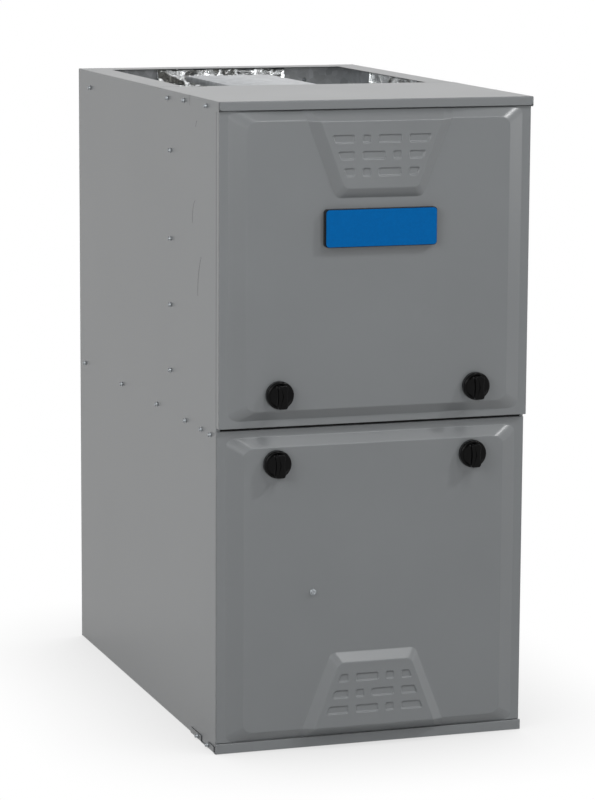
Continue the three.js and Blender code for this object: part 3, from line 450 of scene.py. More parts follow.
def pressed_door(node, upside_down):
    low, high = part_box(node)
    length = (high.z - low.z) / MM - DOOR_SHY
    back = high.y - low.y - (PANEL_RISE + SHIELD_RISE) * MM
    door = front_sheet(f"{node}_pressing", high.x / MM, 0.0, length, 0.0)
    press_panel(door, length)
    press_shield(door)
    outward(door)
    round_press_lines(door)
    press_windows(door, back)
    with editing(door):
        fold = lambda e: near(e.verts[0].co.y, 0.0) and near(e.verts[1].co.y, 0.0)
        upright = lambda e: abs(e.verts[0].co.y - e.verts[1].co.y) > 0.8 * back
        pick("EDGE", lambda e: sharp(e, 60) and (fold(e) or upright(e)))
        bpy.ops.mesh.bevel(offset=min(BORDER_RADIUS * MM, 0.6 * back), segments=3)
        pick("FACE", lambda f: f.normal.y > 0.99 and near(middle(f).y, back))
        bpy.ops.mesh.delete(type="FACE")
    apply(door, "SOLIDIFY", thickness=SHEET * MM, offset=-1.0)
    for side in (-1, 1):
        hole = tube("hole", "y", (side * KNOB_X, length - KNOB_FROM_JOINT), KNOB_HOLE, -20, 5)
        combine(door, hole, "DIFFERENCE")

    front = low.y + (PANEL_RISE + SHIELD_RISE) * MM
    door.location = (0.0, front, high.z if upside_down else low.z)
    door.rotation_euler = (0.0, math.pi if upside_down else 0.0, 0.0)
    alone(door)
    bpy.ops.object.transform_apply(location=True, rotation=True, scale=True)
    smooth(door)
    return door


# Knobs

def grip(x, z, low, high):
    """The grip of a knob: a bar with a waist and round ends, in millimetres."""
    bpy.ops.mesh.primitive_cube_add(size=1.0, location=Vector((x, (low + high) / 2, z + GRIP_MIDDLE)) * MM)
    bpy.context.active_object.scale = Vector((GRIP_WIDTH, high - low, GRIP_LENGTH)) * MM
    bar = named("grip")
    upright = lambda e: not near(e.verts[0].co.y, e.verts[1].co.y)
    waist = z * MM
    with editing(bar):
        cut_across((0.0, 0.0, waist), (0.0, 0.0, 1.0))
        pick("VERT", lambda v: near(v.co.z, waist))
        bpy.ops.transform.resize(value=(GRIP_WAIST / GRIP_WIDTH, 1.0, 1.0))
        pick("EDGE", lambda e: upright(e) and near(middle(e).z, waist))
        bpy.ops.mesh.bevel(offset=GRIP_ROUNDING["waist"] * MM, segments=5)
        pick("EDGE", lambda e: upright(e) and abs(middle(e).z - waist) > 9 * MM)
        bpy.ops.mesh.bevel(offset=GRIP_ROUNDING["end"] * MM, segments=5)
        pick("EDGE", lambda e: sharp(e, 60) and middle(e).y < (low + 0.1) * MM)
        bpy.ops.mesh.bevel(offset=GRIP_ROUNDING["edge"] * MM, segments=3)
    return bar


def knob(node):
    low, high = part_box(node)
    x, z = (low.x + high.x) / 2 / MM, (low.z + high.z) / 2 / MM
    front = low.y / MM
    disc_face, door_face = front + GRIP_HEIGHT, front + GRIP_HEIGHT + DISC_HEIGHT
    radius = (high.x - low.x) / 2 / MM
    disc = tube(f"{node}_moulding", "y", (x, z), radius, disc_face, door_face, sides=96)
    with editing(disc):
        pick("FACE", lambda f: f.normal.y < -0.99)
        bpy.ops.mesh.bevel(offset=DISC_EDGE * MM, segments=5, affect="EDGES")
        pick("FACE", lambda f: f.normal.y < -0.999)
        bpy.ops.mesh.inset(thickness=DISC_RIM * MM)
        bpy.ops.mesh.inset(thickness=DISC_GROOVE["width"] * MM, depth=-DISC_GROOVE["depth"] * MM)
    combine(disc, grip(x, z, front, disc_face + 1.5), "UNION")
    shaft = tube("shaft", "y", (x, z), SHAFT_RADIUS, door_face - 1.0, high.y / MM, sides=24)
    combine(disc, shaft, "UNION")
    smooth(disc)
    return disc


# Nameplate, and the painted shade strip behind the joint of the doors

def rounded_slab(name, low, high, rounding):
    """A slab that faces -Y, with round corners and a softened front edge; its places are in metres."""
    corner, edge = rounding
    half = (high.x - low.x) / 2 / MM
    piece = front_sheet(name, half, low.z / MM, high.z / MM, low.y / MM)
    with editing(piece):
        bpy.ops.mesh.select_all(action="SELECT")
        bpy.ops.mesh.bevel(offset=corner * MM, segments=8, affect="VERTICES")
        bpy.ops.mesh.select_all(action="SELECT")
        extrude((0.0, high.y - low.y, 0.0))
    outward(piece)
    with editing(piece):
        pick("EDGE", lambda e: sharp(e, 60) and middle(e).y < low.y + 0.1 * MM)
        bpy.ops.mesh.bevel(offset=edge * MM, segments=3)
    smooth(piece)
    return piece


# Casing of folded sheet

def folded(piece, radius=FOLD_RADIUS):
    """Rounds the folds of a sheet and gives it its thickness; its inner skin is bare zinc-coated steel."""
    for slot in ("cabinet_paint", "galvanised_steel"):
        piece.data.materials.append(MATERIALS[slot])
    with editing(piece):
        bpy.ops.mesh.select_all(action="SELECT")
        bpy.ops.mesh.remove_doubles(threshold=0.01 * MM)
        pick("EDGE", lambda e: sharp(e, 60))
        bpy.ops.mesh.bevel(offset=radius * MM, segments=4)
        bpy.ops.mesh.select_all(action="SELECT")
        bpy.ops.mesh.normals_make_consistent(inside=False)
    apply(piece, "SOLIDIFY", thickness=SHEET * MM, offset=-1.0, use_even_offset=True, material_offset=1)
    smooth(piece)


def painted_knockout_shade():
    """Dark strips along the cut lines of the pipe knockouts in the left side: painted shade where their narrow
    gaps stand open.
    """
    face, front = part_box("left_side_panel")[0].x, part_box("left_side_panel")[0].y
    pieces = []
    for y, z, radius, start, end in KNOCKOUTS:
        centre = Vector((face - 0.02 * MM, front + y * MM, z * MM))
        bpy.ops.mesh.primitive_circle_add(
            vertices=360, radius=radius * MM, location=centre, rotation=(0.0, math.pi / 2, 0.0),
        )
        line = named("knockout_gap_shade")
        angle = lambda p: math.degrees(math.atan2(p.z - centre.z, p.y - centre.y))
        with editing(line):
            pick("VERT", lambda v: not start < angle(v.co) < end)
            bpy.ops.mesh.delete(type="VERT")
            pick("EDGE", lambda e: True)
            extrude((-0.1 * MM, 0.0, 0.0))
        apply(line, "SOLIDIFY", thickness=KNOCKOUT_SHADE_WIDTH * MM, offset=0.0)
        pieces.append(line)
    return joined(pieces, "side_knockout_shade")


def side_panel(node, hand):
    low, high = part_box(node)
    outer = high.x if hand > 0 else low.x
    deck_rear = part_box("top_deck")[1].y + SHEET_GAP * MM
    rail_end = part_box("base_rail")[1].y + SHEET_GAP * MM
    under_deck = high.z - UNDER_DECK * MM
    on_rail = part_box("base_rail")[1].z + SHEET_GAP * MM
    centre = Vector((outer, (low.y + high.y) / 2, (low.z + high.z) / 2))
    turn = math.pi / 2 if hand > 0 else -math.pi / 2
    bpy.ops.mesh.primitive_plane_add(size=1.0, location=centre, rotation=(0.0, turn, 0.0))
    bpy.context.active_object.scale = (high.z - low.z, high.y - low.y, 1.0)
    piece = named(f"{node}_sheet")
    inward = -hand
    with editing(piece):
        cut_across((0.0, deck_rear, 0.0), (0.0, 1.0, 0.0))
        cut_across((0.0, rail_end, 0.0), (0.0, 1.0, 0.0))
        cut_across((0.0, 0.0, under_deck), (0.0, 0.0, 1.0))
        pick("FACE", lambda f: middle(f).z > under_deck and middle(f).y < deck_rear)
        bpy.ops.mesh.delete(type="FACE")
        pick("EDGE", lambda e: near(middle(e).y, low.y))
        extrude((inward * FRONT_FLANGE * MM, 0.0, 0.0))
        pick("VERT", lambda v: near(v.co.y, low.y) and v.co.z < low.z + MM and not near(v.co.x, outer))
        bpy.ops.transform.translate(value=(0.0, 0.0, on_rail - low.z))
        pick("EDGE", lambda e: near(middle(e).z, high.z) and middle(e).y > deck_rear)
        extrude((inward * OUTLET_FLANGE * MM, 0.0, 0.0))
        pick("EDGE", lambda e: near(middle(e).z, low.z) and middle(e).y > rail_end)
        extrude((inward * FOOT_FLANGE * MM, 0.0, 0.0))
    folded(piece)
    return piece


def back_panel():
    low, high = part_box("back_panel")
    inner_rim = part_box("right_side_panel")[0].x - SHEET_GAP * MM
    piece = front_sheet("back_panel_sheet", high.x / MM, low.z / MM, high.z / MM, high.y / MM)
    with editing(piece):
        cut_across((-inner_rim, 0.0, 0.0), (1.0, 0.0, 0.0))
        cut_across((inner_rim, 0.0, 0.0), (1.0, 0.0, 0.0))
        for level in (high.z, low.z):
            pick("EDGE", lambda e: near(middle(e).z, level) and abs(middle(e).x) < inner_rim)
            extrude((0.0, low.y - high.y, 0.0))
    folded(piece)
    return piece


def top_deck():
    low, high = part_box("top_deck")
    front = low.y
    flange_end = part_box("right_side_panel")[1].x - DECK_FLANGE_INSET * MM
    bpy.ops.mesh.primitive_plane_add(size=1.0, location=(0.0, (low.y + high.y) / 2, high.z))
    bpy.context.active_object.scale = (high.x - low.x, high.y - low.y, 1.0)
    piece = named("top_deck_sheet")
    breaks = [front + y * MM for y in DECK_TAB_BREAKS]
    slot_low = Vector((DECK_SLOT["left"] * MM, high.y - DECK_SLOT["from_rear"] * MM, high.z))
    slot_size = Vector((DECK_SLOT["length"], DECK_SLOT["width"], 0.0)) * MM
    slot_high = slot_low + slot_size
    in_slot = lambda p, margin: all(slot_low[i] - margin < p[i] < slot_high[i] + margin for i in range(3))
    with editing(piece):
        for y in (*breaks, slot_low.y, slot_high.y):
            cut_across((0.0, y, 0.0), (0.0, 1.0, 0.0))
        for x in (slot_low.x, slot_high.x):
            cut_across((x, 0.0, 0.0), (1.0, 0.0, 0.0))
        pick("FACE", lambda f: in_slot(middle(f), 0.1 * MM))
        bpy.ops.mesh.delete(type="FACE")
        pick("VERT", lambda v: in_slot(v.co, 0.1 * MM))
        bpy.ops.mesh.bevel(offset=DECK_SLOT_CORNER * MM, segments=5, affect="VERTICES")
        pick("EDGE", lambda e: near(middle(e).y, front))
        extrude((0.0, 0.0, -DECK_LIP * MM))
        in_tab = lambda y: y < breaks[0] or breaks[1] < y < breaks[2]
        at_side = lambda e: near(abs(middle(e).x), high.x) and near(middle(e).z, high.z)
        along = lambda e: not near(e.verts[0].co.y, e.verts[1].co.y)
        pick("EDGE", lambda e: at_side(e) and along(e) and in_tab(middle(e).y))
        extrude((0.0, 0.0, -DECK_TAB * MM))
        for side in (-1, 1):
            cut_across((side * flange_end, 0.0, 0.0), (1.0, 0.0, 0.0))
        at_rear = lambda e: near(middle(e).y, high.y) and near(middle(e).z, high.z)
        pick("EDGE", lambda e: at_rear(e) and abs(middle(e).x) < flange_end)
        extrude((0.0, 0.0, -DECK_REAR_FLANGE * MM))
    with editing(piece):
        lip_end = lambda v: near(v.co.y, front) and v.co.z < high.z - (DECK_LIP - 1.0) * MM
        tab_end = lambda v: near(abs(v.co.x), high.x) and v.co.z < high.z - (DECK_TAB - 1.0) * MM
        pick("VERT", lambda v: lip_end(v) or tab_end(v))
        bpy.ops.mesh.bevel(offset=DECK_CORNER * MM, segments=4, affect="VERTICES")
    folded(piece)
    with editing(piece):
        pick("EDGE", lambda e: sharp(e, 60) and in_slot(middle(e), 0.2 * MM))
        bpy.ops.mesh.bevel(offset=DECK_SLOT_EDGE * MM, segments=2)
    smooth(piece)
    return piece


def base_rail():
    """The rail under the lower door, with a tab that stands up outside the casing at four places."""
    low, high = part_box("base_rail")
    casing_front = low.y + RAIL_FORWARD * MM
    first_tab = [casing_front + y * MM for y in RAIL_FIRST_TAB]
    second_tab = casing_front + RAIL_SECOND_TAB * MM
    piece = front_sheet("base_rail_sheet", high.x / MM, low.z / MM, high.z / MM, low.y / MM)
    with editing(piece):
        pick("EDGE", lambda e: near(middle(e).z, high.z))
        extrude((0.0, RAIL_TOP_FOLD * MM, 0.0))
        pick("EDGE", lambda e: near(middle(e).z, low.z))
        extrude((0.0, casing_front + RAIL_DEPTH * MM - low.y, 0.0))
        for y in first_tab:
            cut_across((0.0, y, 0.0), (0.0, 1.0, 0.0))
        at_side = lambda p: near(abs(p.x), high.x) and near(p.z, low.z)
        pick("EDGE", lambda e: at_side(middle(e)) and first_tab[0] < middle(e).y < first_tab[1])
        extrude((0.0, 0.0, RAIL_TAB_HEIGHT * MM))
    folded(piece, RAIL_FOLD_RADIUS)
    arms = []
    start = casing_front + (RAIL_DEPTH - RAIL_ARM_LAP) * MM
    for hand in (-1, 1):
        place = (hand * (high.x - RAIL_ARM_WIDTH / 2 * MM), (start + high.y) / 2, low.z)
        bpy.ops.mesh.primitive_plane_add(size=1.0, location=place, rotation=(math.pi, 0.0, 0.0))
        bpy.context.active_object.scale = (RAIL_ARM_WIDTH * MM, high.y - start, 1.0)
        arm = named("rail_arm")
        with editing(arm):
            cut_across((0.0, second_tab, 0.0), (0.0, 1.0, 0.0))
            pick("EDGE", lambda e: near(middle(e).x, hand * high.x) and middle(e).y > second_tab)
            extrude((0.0, 0.0, RAIL_TAB_HEIGHT * MM))
        folded(arm, RAIL_FOLD_RADIUS)
        arms.append(arm)
    return joined([piece, *arms], "base_rail_sheet")


# Foil-faced insulation

def crumpled(piece):
    """Crumples a finely divided piece, inwards only."""
    for number, (crease, depth) in enumerate(CRUMPLE):
        texture = bpy.data.textures.new(f"crumple_{number}", "VORONOI")
        texture.noise_scale = crease
        texture.distance_metric = "DISTANCE"
        apply(piece, "DISPLACE", texture=texture, strength=depth * MM, mid_level=1.0, texture_coords="LOCAL")
        bpy.data.textures.remove(texture)


def blanket(node, side):
    """A foil-faced blanket that faces a side of the casing's inside: x, -x, y or -y."""
    low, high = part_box(node)
    size, centre = high - low, (low + high) / 2
    across = 0 if side[-1] == "x" else 1
    along = 1 - across
    sign = -1 if side[0] == "-" else 1
    turn = {"x": (math.pi / 2, 0.0, math.pi / 2), "y": (math.pi / 2, 0.0, math.pi)}[side[-1]]
    place = centre.copy()
    place[across] -= sign * size[across] / 2
    bpy.ops.mesh.primitive_grid_add(
        x_subdivisions=max(2, round(size[along] / (FOIL_STEP * MM))),
        y_subdivisions=max(2, round(size.z / (FOIL_STEP * MM))), size=1.0, location=place, rotation=turn,
    )
    bpy.context.active_object.scale = (size[along], size.z, 1.0)
    piece = named(f"{node}_foil")
    move = [0.0, 0.0, 0.0]
    move[across] = sign * size[across]
    with editing(piece):
        bpy.ops.mesh.select_all(action="SELECT")
        extrude(move)
        pick("EDGE", lambda e: e.is_boundary)
        bpy.ops.mesh.edge_face_add()
    outward(piece)
    crumpled(piece)
    alone(piece)
    bpy.ops.object.shade_smooth_by_angle(angle=math.radians(28))
    return piece


# Screws

def hex_screw(name, head, flange):
    """A hex washer-head screw at the origin that faces -Y."""
    washer = tube(name, "y", (0.0, 0.0), flange, -0.9, 0.2, sides=32)
    with editing(washer):
        pick("FACE", lambda f: f.normal.y < -0.99)
        bpy.ops.mesh.bevel(offset=0.5 * MM, segments=3)
    hexagon = tube("hexagon", "y", (0.0, 0.0), head, -4.0, -0.4, sides=6)
    with editing(hexagon):
        pick("FACE", lambda f: f.normal.y < -0.99)
        bpy.ops.mesh.bevel(offset=0.5 * MM, segments=2)
        pick("FACE", lambda f: f.normal.y < -0.999)
        bpy.ops.mesh.inset(thickness=0.9 * MM)
        bpy.ops.mesh.inset(thickness=0.3 * MM, depth=-0.5 * MM)
    combine(washer, hexagon, "UNION")
    smooth(washer)
    return washer


def placed_copies(screw, places, name):
    """Copies of a screw at (place, turn about Z, turn about X), joined in one piece."""
    copies = []
    for place, turn_z, turn_x in places:
        alone(screw)
        bpy.ops.object.duplicate()
        copy = bpy.context.active_object
        copy.location = place
        copy.rotation_euler = (turn_x, 0.0, turn_z)
        bpy.ops.object.transform_apply(location=True, rotation=True, scale=True)
        copies.append(copy)
    return joined(copies, name)


# Materials

def linear(colour):
    """The linear values of an sRGB hex colour."""
    values = [int(colour[i : i + 2], 16) / 255 for i in (0, 2, 4)]
    return [v / 12.92 if v <= 0.04045 else ((v + 0.055) / 1.055) ** 2.4 for v in values] + [1.0]


def add(tree, kind, settings=None, inputs=None):
    """Adds a node with its settings; an input is a value or the output of another node."""
    made = tree.nodes.new("ShaderNode" + kind)
    for key, value in (settings or {}).items():
        setattr(made, key, value)
    for socket, value in (inputs or {}).items():
        if isinstance(value, bpy.types.NodeSocket):
            tree.links.new(value, made.inputs[socket])
        else:
            made.inputs[socket].default_value = value
    return made


def shader(name):
    """A new material with only its output, and the place of a point on the piece."""
    material = bpy.data.materials.new(name)
    material.use_nodes = True
    tree = material.node_tree
    tree.nodes.clear()
    place = add(tree, "TexCoord").outputs["Object"]
    return material, tree, place


def close(tree, surface):
    add(tree, "OutputMaterial", inputs={"Surface": surface})


def per(millimetres):
    """The scale of a texture whose features are this far apart."""
    return 1000.0 / millimetres


def tinted(tree, amount, dark, light, start=0.0, end=1.0):
    """A colour between two shades, by an amount that runs from start to end."""
    ramp = add(tree, "ValToRGB", inputs={"Fac": amount})
    for element, position, shade in zip(ramp.color_ramp.elements, (start, end), (dark, light)):
        element.position = position
        element.color = linear(shade)
    return ramp.outputs["Color"]


def powder_coat():
    """Grey polyester powder coat on steel: a satin skin with faint orange peel."""
    material, tree, place = shader("grey_powder_coat")
    peel = add(tree, "TexNoise", inputs={"Vector": place, "Scale": per(1.8), "Detail": 2.0})
    cloud = add(tree, "TexNoise", inputs={"Vector": place, "Scale": per(180.0), "Detail": 3.0})
    colour = tinted(tree, cloud.outputs["Fac"], "818486", "898c8e")
    rough = add(tree, "MapRange", inputs={"Value": cloud.outputs["Fac"], "To Min": 0.26, "To Max": 0.32})
    bump = add(tree, "Bump", inputs={"Height": peel.outputs["Fac"], "Strength": 0.08, "Distance": 0.0001})
    skin = add(tree, "BsdfPrincipled", inputs={
        "Base Color": colour,
        "Roughness": rough.outputs["Result"],
        "Normal": bump.outputs["Normal"],
        "IOR": 1.5,
    })
    close(tree, skin.outputs["BSDF"])
    return material


def spangled_metal(name, dark, light, spangle, roughness):
    """Zinc-coated or aluminised sheet: bright metal with a crystal spangle."""
    material, tree, place = shader(name)
    crystals = add(tree, "TexVoronoi", inputs={"Vector": place, "Scale": per(spangle)})
    grains = add(tree, "TexNoise", inputs={"Vector": place, "Scale": per(spangle / 4), "Detail": 3.0})
    mixed = add(tree, "Mix", {"data_type": "RGBA"}, {
        "Factor": 0.35, "A": crystals.outputs["Color"], "B": grains.outputs["Color"],
    })
    grey = add(tree, "RGBToBW", inputs={"Color": mixed.outputs["Result"]})
    colour = tinted(tree, grey.outputs["Val"], dark, light, 0.25, 0.75)
    rough = add(tree, "MapRange", inputs={
        "Value": grey.outputs["Val"], "To Min": roughness - 0.07, "To Max": roughness + 0.07,
    })
    skin = add(tree, "BsdfPrincipled", inputs={
        "Base Color": colour, "Metallic": 0.6, "Roughness": rough.outputs["Result"],
    })
    close(tree, skin.outputs["BSDF"])
    return material


def crinkled_foil():
    """Aluminium foil facing on glass wool: mirror-like, creased in facets a few millimetres wide."""
    material, tree, place = shader("crinkled_foil")
    creases = add(tree, "TexVoronoi", {"feature": "DISTANCE_TO_EDGE"}, {"Vector": place, "Scale": per(16.0)})
    folds = add(tree, "TexNoise", inputs={"Vector": place, "Scale": per(9.0), "Detail": 4.0, "Distortion": 1.5})
    height = add(tree, "Math", {"operation": "MULTIPLY_ADD"}, {
        0: folds.outputs["Fac"], 1: 1.4, 2: creases.outputs["Distance"],
    })
    bump = add(tree, "Bump", inputs={"Height": height.outputs["Value"], "Strength": 0.4, "Distance": 0.002})
    skin = add(tree, "BsdfPrincipled", inputs={
        "Base Color": linear("eceeef"), "Metallic": 1.0, "Roughness": 0.14, "Normal": bump.outputs["Normal"],
    })
    close(tree, skin.outputs["BSDF"])
    return material


def moulded_plastic(name, dark, light, roughness, grain, depth=0.00003, gloss=0.5):
    """Injection-moulded plastic with a fine texture."""
    material, tree, place = shader(name)
    fine = add(tree, "TexNoise", inputs={"Vector": place, "Scale": per(grain), "Detail": 3.0})
    colour = tinted(tree, fine.outputs["Fac"], dark, light, 0.35, 0.65)
    bump = add(tree, "Bump", inputs={"Height": fine.outputs["Fac"], "Strength": 0.3, "Distance": depth})
    skin = add(tree, "BsdfPrincipled", inputs={
        "Base Color": colour, "Roughness": roughness, "Normal": bump.outputs["Normal"],
        "Specular IOR Level": gloss,
    })
    close(tree, skin.outputs["BSDF"])
    return material


def plated_metal(name, dark, light, roughness, grain):
    """Cast or plated metal with a fine grain."""
    material, tree, place = shader(name)
    fine = add(tree, "TexNoise", inputs={"Vector": place, "Scale": per(grain), "Detail": 4.0})
    colour = tinted(tree, fine.outputs["Fac"], dark, light, 0.3, 0.7)
    bump = add(tree, "Bump", inputs={"Height": fine.outputs["Fac"], "Strength": 0.25, "Distance": 0.00005})
    skin = add(tree, "BsdfPrincipled", inputs={
        "Base Color": colour, "Metallic": 1.0, "Roughness": roughness,
        "Normal": bump.outputs["Normal"],
    })
    close(tree, skin.outputs["BSDF"])
    return material


# What the pieces of each slot are made of on the real furnace
MATERIALS = {
    "cabinet_paint": powder_coat(),
    "galvanised_steel": spangled_metal("galvanised_sheet", "b0b3b6", "cacdd0", 9.0, 0.4),
    "aluminised_steel": spangled_metal("aluminised_sheet", "a09e98", "bdbbb4", 3.0, 0.42),
    "stainless_steel": plated_metal("stainless_sheet", "a9abad", "c4c6c7", 0.3, 1.2),
    "foil_blanket": crinkled_foil(),
    "black_plastic": moulded_plastic("black_abs", "030303", "050506", 0.16, 0.6, depth=0.00001, gloss=0.1),
    "blue_plastic": moulded_plastic("blue_label_film", "0068b2", "006cb8", 0.4, 3.0, gloss=0.1),
    "red_plastic": moulded_plastic("red_abs", "981c1c", "a82424", 0.35, 0.8),
    "cast_aluminium": plated_metal("cast_aluminium", "a6a8aa", "c0c2c4", 0.42, 0.9),
    "zinc_plate": plated_metal("zinc_plating", "7e8285", "9a9ea1", 0.28, 0.7),
    "circuit_board": moulded_plastic("solder_mask", "18502f", "206238", 0.4, 4.0),
    "pvc": moulded_plastic("white_pvc", "d2d2cc", "dcdcd6", 0.38, 2.0),
    "ceramic": moulded_plastic("unglazed_ceramic", "ddd8cc", "eae6dc", 0.75, 0.5),
    # Black enamel of the dark steel parts; on the knockout strips it is painted shade in the open cuts
    "dark_steel": moulded_plastic("black_enamel_and_cut_shade", "222426", "2c2e30", 0.4, 1.5),
}


def clothe(piece, slot):
    piece.data.materials.clear()
    piece.data.materials.append(MATERIALS[slot])


def put(piece, slot, body, *nodes):
    """Gives a finished piece its material, its body and the nodes that it stands for."""
    if not piece.data.materials:
        clothe(piece, slot)
    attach(piece, body)
    if nodes:
        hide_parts(*nodes)


def soften(node):
    """Rounds the edges of a CAD node a little, so that they catch the light."""
    for polygon in node.data.polygons:
        polygon.use_smooth = True
    node.modifiers.new("Weld", "WELD").merge_threshold = 0.01 * MM
    edge = node.modifiers.new("Edge", "BEVEL")
    edge.limit_method = "ANGLE"
    edge.angle_limit = math.radians(40)
    edge.width = 0.35 * MM
    edge.segments = 2
    edge.harden_normals = True


# The object

SLOT_OF = {row["node"]: row["material_slot"] for row in frame["record"]["subparts"]}
for name, cad_object in frame["nodes"].items():
    clothe(cad_object, SLOT_OF[name])
    soften(cad_object)

put(pressed_door("upper_door", True), "cabinet_paint", "upper_door", "upper_door")
put(pressed_door("lower_door", False), "cabinet_paint", "lower_door", "lower_door")
for level in ("upper", "lower"):
    for side in ("left", "right"):
        place = f"{level}_{side}_knob"
        put(knob(place), "black_plastic", place, place)

carrier_low, carrier_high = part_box("nameplate_carrier")
carrier = rounded_slab("nameplate_back", carrier_low, carrier_high, CARRIER_ROUNDING)
put(carrier, "black_plastic", "upper_door", "nameplate_carrier")
face_low, face_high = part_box("nameplate_face")
face = rounded_slab("nameplate_front", face_low, face_high, FACE_ROUNDING)
put(face, "blue_plastic", "upper_door", "nameplate_face")

put(side_panel("left_side_panel", -1), "cabinet_paint", "cabinet", "left_side_panel")
put(side_panel("right_side_panel", 1), "cabinet_paint", "cabinet", "right_side_panel")
# Painted shade: dark strips where the knockout cuts stand open
put(painted_knockout_shade(), "dark_steel", "cabinet")
put(back_panel(), "cabinet_paint", "cabinet", "back_panel")
put(top_deck(), "cabinet_paint", "cabinet", "top_deck")
put(base_rail(), "cabinet_paint", "cabinet", "base_rail")

put(blanket("back_insulation", "-y"), "foil_blanket", "cabinet", "back_insulation")
put(blanket("left_insulation", "x"), "foil_blanket", "cabinet", "left_insulation")
put(blanket("right_insulation", "-x"), "foil_blanket", "cabinet", "right_insulation")

# Painted shade: a black strip shaped like a gasket, on the centre rail behind the joint of the doors, darkens
# the gap between them
rail_low, rail_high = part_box("centre_rail")
seam_shade_half, seam_shade_back = rail_high.x - SEAM_SHADE_MARGIN * MM, rail_low.y - SEAM_SHADE_GAP * MM
seam_shade_front = seam_shade_back - SEAM_SHADE_THICKNESS * MM
seam_shade_low = Vector((-seam_shade_half, seam_shade_front, rail_low.z + SEAM_SHADE_MARGIN * MM))
seam_shade_high = Vector((seam_shade_half, seam_shade_back, rail_high.z - SEAM_SHADE_MARGIN * MM))
shade_strip = rounded_slab("door_seam_shade", seam_shade_low, seam_shade_high, SEAM_SHADE_ROUNDING)
put(shade_strip, "black_plastic", "cabinet")

door_screw = hex_screw("lower_door_screw_head", head=3.4, flange=4.8)
screw_low, screw_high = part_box("lower_door_screw")
door_screw.location = ((screw_low.x + screw_high.x) / 2, screw_high.y, (screw_low.z + screw_high.z) / 2)
alone(door_screw)
bpy.ops.object.transform_apply(location=True, rotation=True, scale=True)
put(door_screw, "zinc_plate", "lower_door", "lower_door_screw")

casing_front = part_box("left_side_panel")[0].y
casing_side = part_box("right_side_panel")[1].x
tab_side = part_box("top_deck")[1].x
small_screw = hex_screw("small_screw", head=2.7, flange=3.6)
for hand, side in ((-1, "left"), (1, "right")):
    turn = -math.pi / 2 if hand < 0 else math.pi / 2
    spots = [((hand * casing_side, casing_front + y * MM, z * MM), turn, 0.0) for y, z in SIDE_SCREWS]
    spots += [((hand * tab_side, casing_front + y * MM, z * MM), turn, 0.0) for y, z in TAB_SCREWS]
    put(placed_copies(small_screw, spots, f"{side}_side_screws"), "zinc_plate", "cabinet")
back_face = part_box("back_panel")[1].y
back_screw_x = casing_side - BACK_SCREW_INSET * MM
spots = [((side * back_screw_x, back_face, z * MM), math.pi, 0.0) for side in (-1, 1) for z in BACK_SCREWS]
spots.append((Vector((OUTLET_SCREW[0] * MM, back_face - SHEET * MM, OUTLET_SCREW[1] * MM)), 0.0, 0.0))
put(placed_copies(small_screw, spots, "back_screws"), "zinc_plate", "cabinet")
bpy.data.objects.remove(small_screw)


# Studio

def seen_directly(tree):
    """1 for what the camera sees, also in a mirror or through glass, and 0 for what lights the object."""
    path = add(tree, "LightPath").outputs
    direct = add(tree, "Math", {"operation": "MAXIMUM"}, {0: path["Is Camera Ray"], 1: path["Is Glossy Ray"]})
    direct = add(tree, "Math", {"operation": "MAXIMUM"}, {
        0: direct.outputs["Value"], 1: path["Is Transmission Ray"],
    })
    return direct.outputs["Value"]


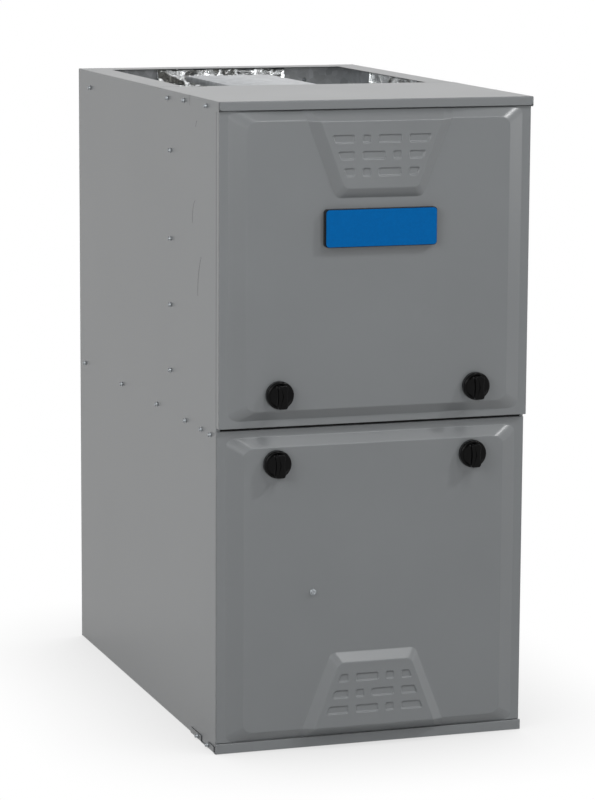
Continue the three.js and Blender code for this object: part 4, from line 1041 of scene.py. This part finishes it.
def studio_floor():
    bpy.ops.object.select_all(action="DESELECT")
    bpy.ops.mesh.primitive_plane_add(size=30.0, location=(0.0, 0.0, -0.5 * MM))
    floor = named("studio_floor")
    material, tree, _ = shader("pale_paper")
    paper = add(tree, "BsdfDiffuse", inputs={"Color": linear("c4c4c4")})
    shade = add(tree, "AmbientOcclusion", {"samples": 16}, {"Distance": SHADOW_REACH})
    level = add(tree, "Math", {"operation": "MULTIPLY_ADD"}, {
        0: shade.outputs["AO"], 1: FLOOR_SHADOW, 2: 1.0 - FLOOR_SHADOW,
    })
    white = add(tree, "Emission", inputs={"Color": (1.0, 1.0, 1.0, 1.0), "Strength": level.outputs["Value"]})
    mixed = add(tree, "MixShader", inputs={
        "Fac": seen_directly(tree), 1: paper.outputs["BSDF"], 2: white.outputs["Emission"],
    })
    close(tree, mixed.outputs["Shader"])
    floor.data.materials.append(material)


def studio_world():
    world = bpy.data.worlds.new("studio")
    bpy.context.scene.world = world
    world.use_nodes = True
    tree = world.node_tree
    tree.nodes.clear()
    light = add(tree, "Background", inputs={"Color": linear("ffffff"), "Strength": WORLD_LEVEL})
    white = add(tree, "Background", inputs={"Color": (1.0, 1.0, 1.0, 1.0), "Strength": 1.0})
    mixed = add(tree, "MixShader", inputs={
        "Fac": seen_directly(tree), 1: light.outputs["Background"], 2: white.outputs["Background"],
    })
    add(tree, "OutputWorld", inputs={"Surface": mixed.outputs["Shader"]})


def lamp(name, azimuth, elevation, distance, width, height, power):
    """A soft lamp that faces the object and isn't itself seen by the camera."""
    data = bpy.data.lights.new(name, "AREA")
    data.shape = "RECTANGLE"
    data.size = width
    data.size_y = height
    data.energy = power
    made = bpy.data.objects.new(name, data)
    bpy.context.collection.objects.link(made)
    turn, tilt = math.radians(azimuth), math.radians(elevation)
    away = Vector((math.sin(turn) * math.cos(tilt), -math.cos(turn) * math.cos(tilt), math.sin(tilt)))
    made.location = LAMP_TARGET + distance * away
    made.visible_camera = False
    made.visible_glossy = name not in LAMPS_WITHOUT_HIGHLIGHT
    made.rotation_euler = (-away).to_track_quat("-Z", "Y").to_euler()


def camera():
    """The camera of the photograph."""
    data = bpy.data.cameras.new("camera")
    data.lens = CAMERA_LENS
    data.sensor_width = 36.0
    made = bpy.data.objects.new("camera", data)
    bpy.context.collection.objects.link(made)
    turn = Matrix.Rotation(math.radians(-CAMERA_AZIMUTH), 4, "Z")
    tilt = Matrix.Rotation(math.radians(90.0 - CAMERA_ELEVATION), 4, "X")
    roll = Matrix.Rotation(math.radians(CAMERA_ROLL), 4, "Z")
    made.matrix_world = Matrix.Translation(CAMERA_PLACE) @ turn @ tilt @ roll
    bpy.context.scene.camera = made


studio_floor()
studio_world()
for name, settings in LAMPS.items():
    lamp(name, *settings)
camera()
bpy.context.scene.view_settings.view_transform = "Standard"
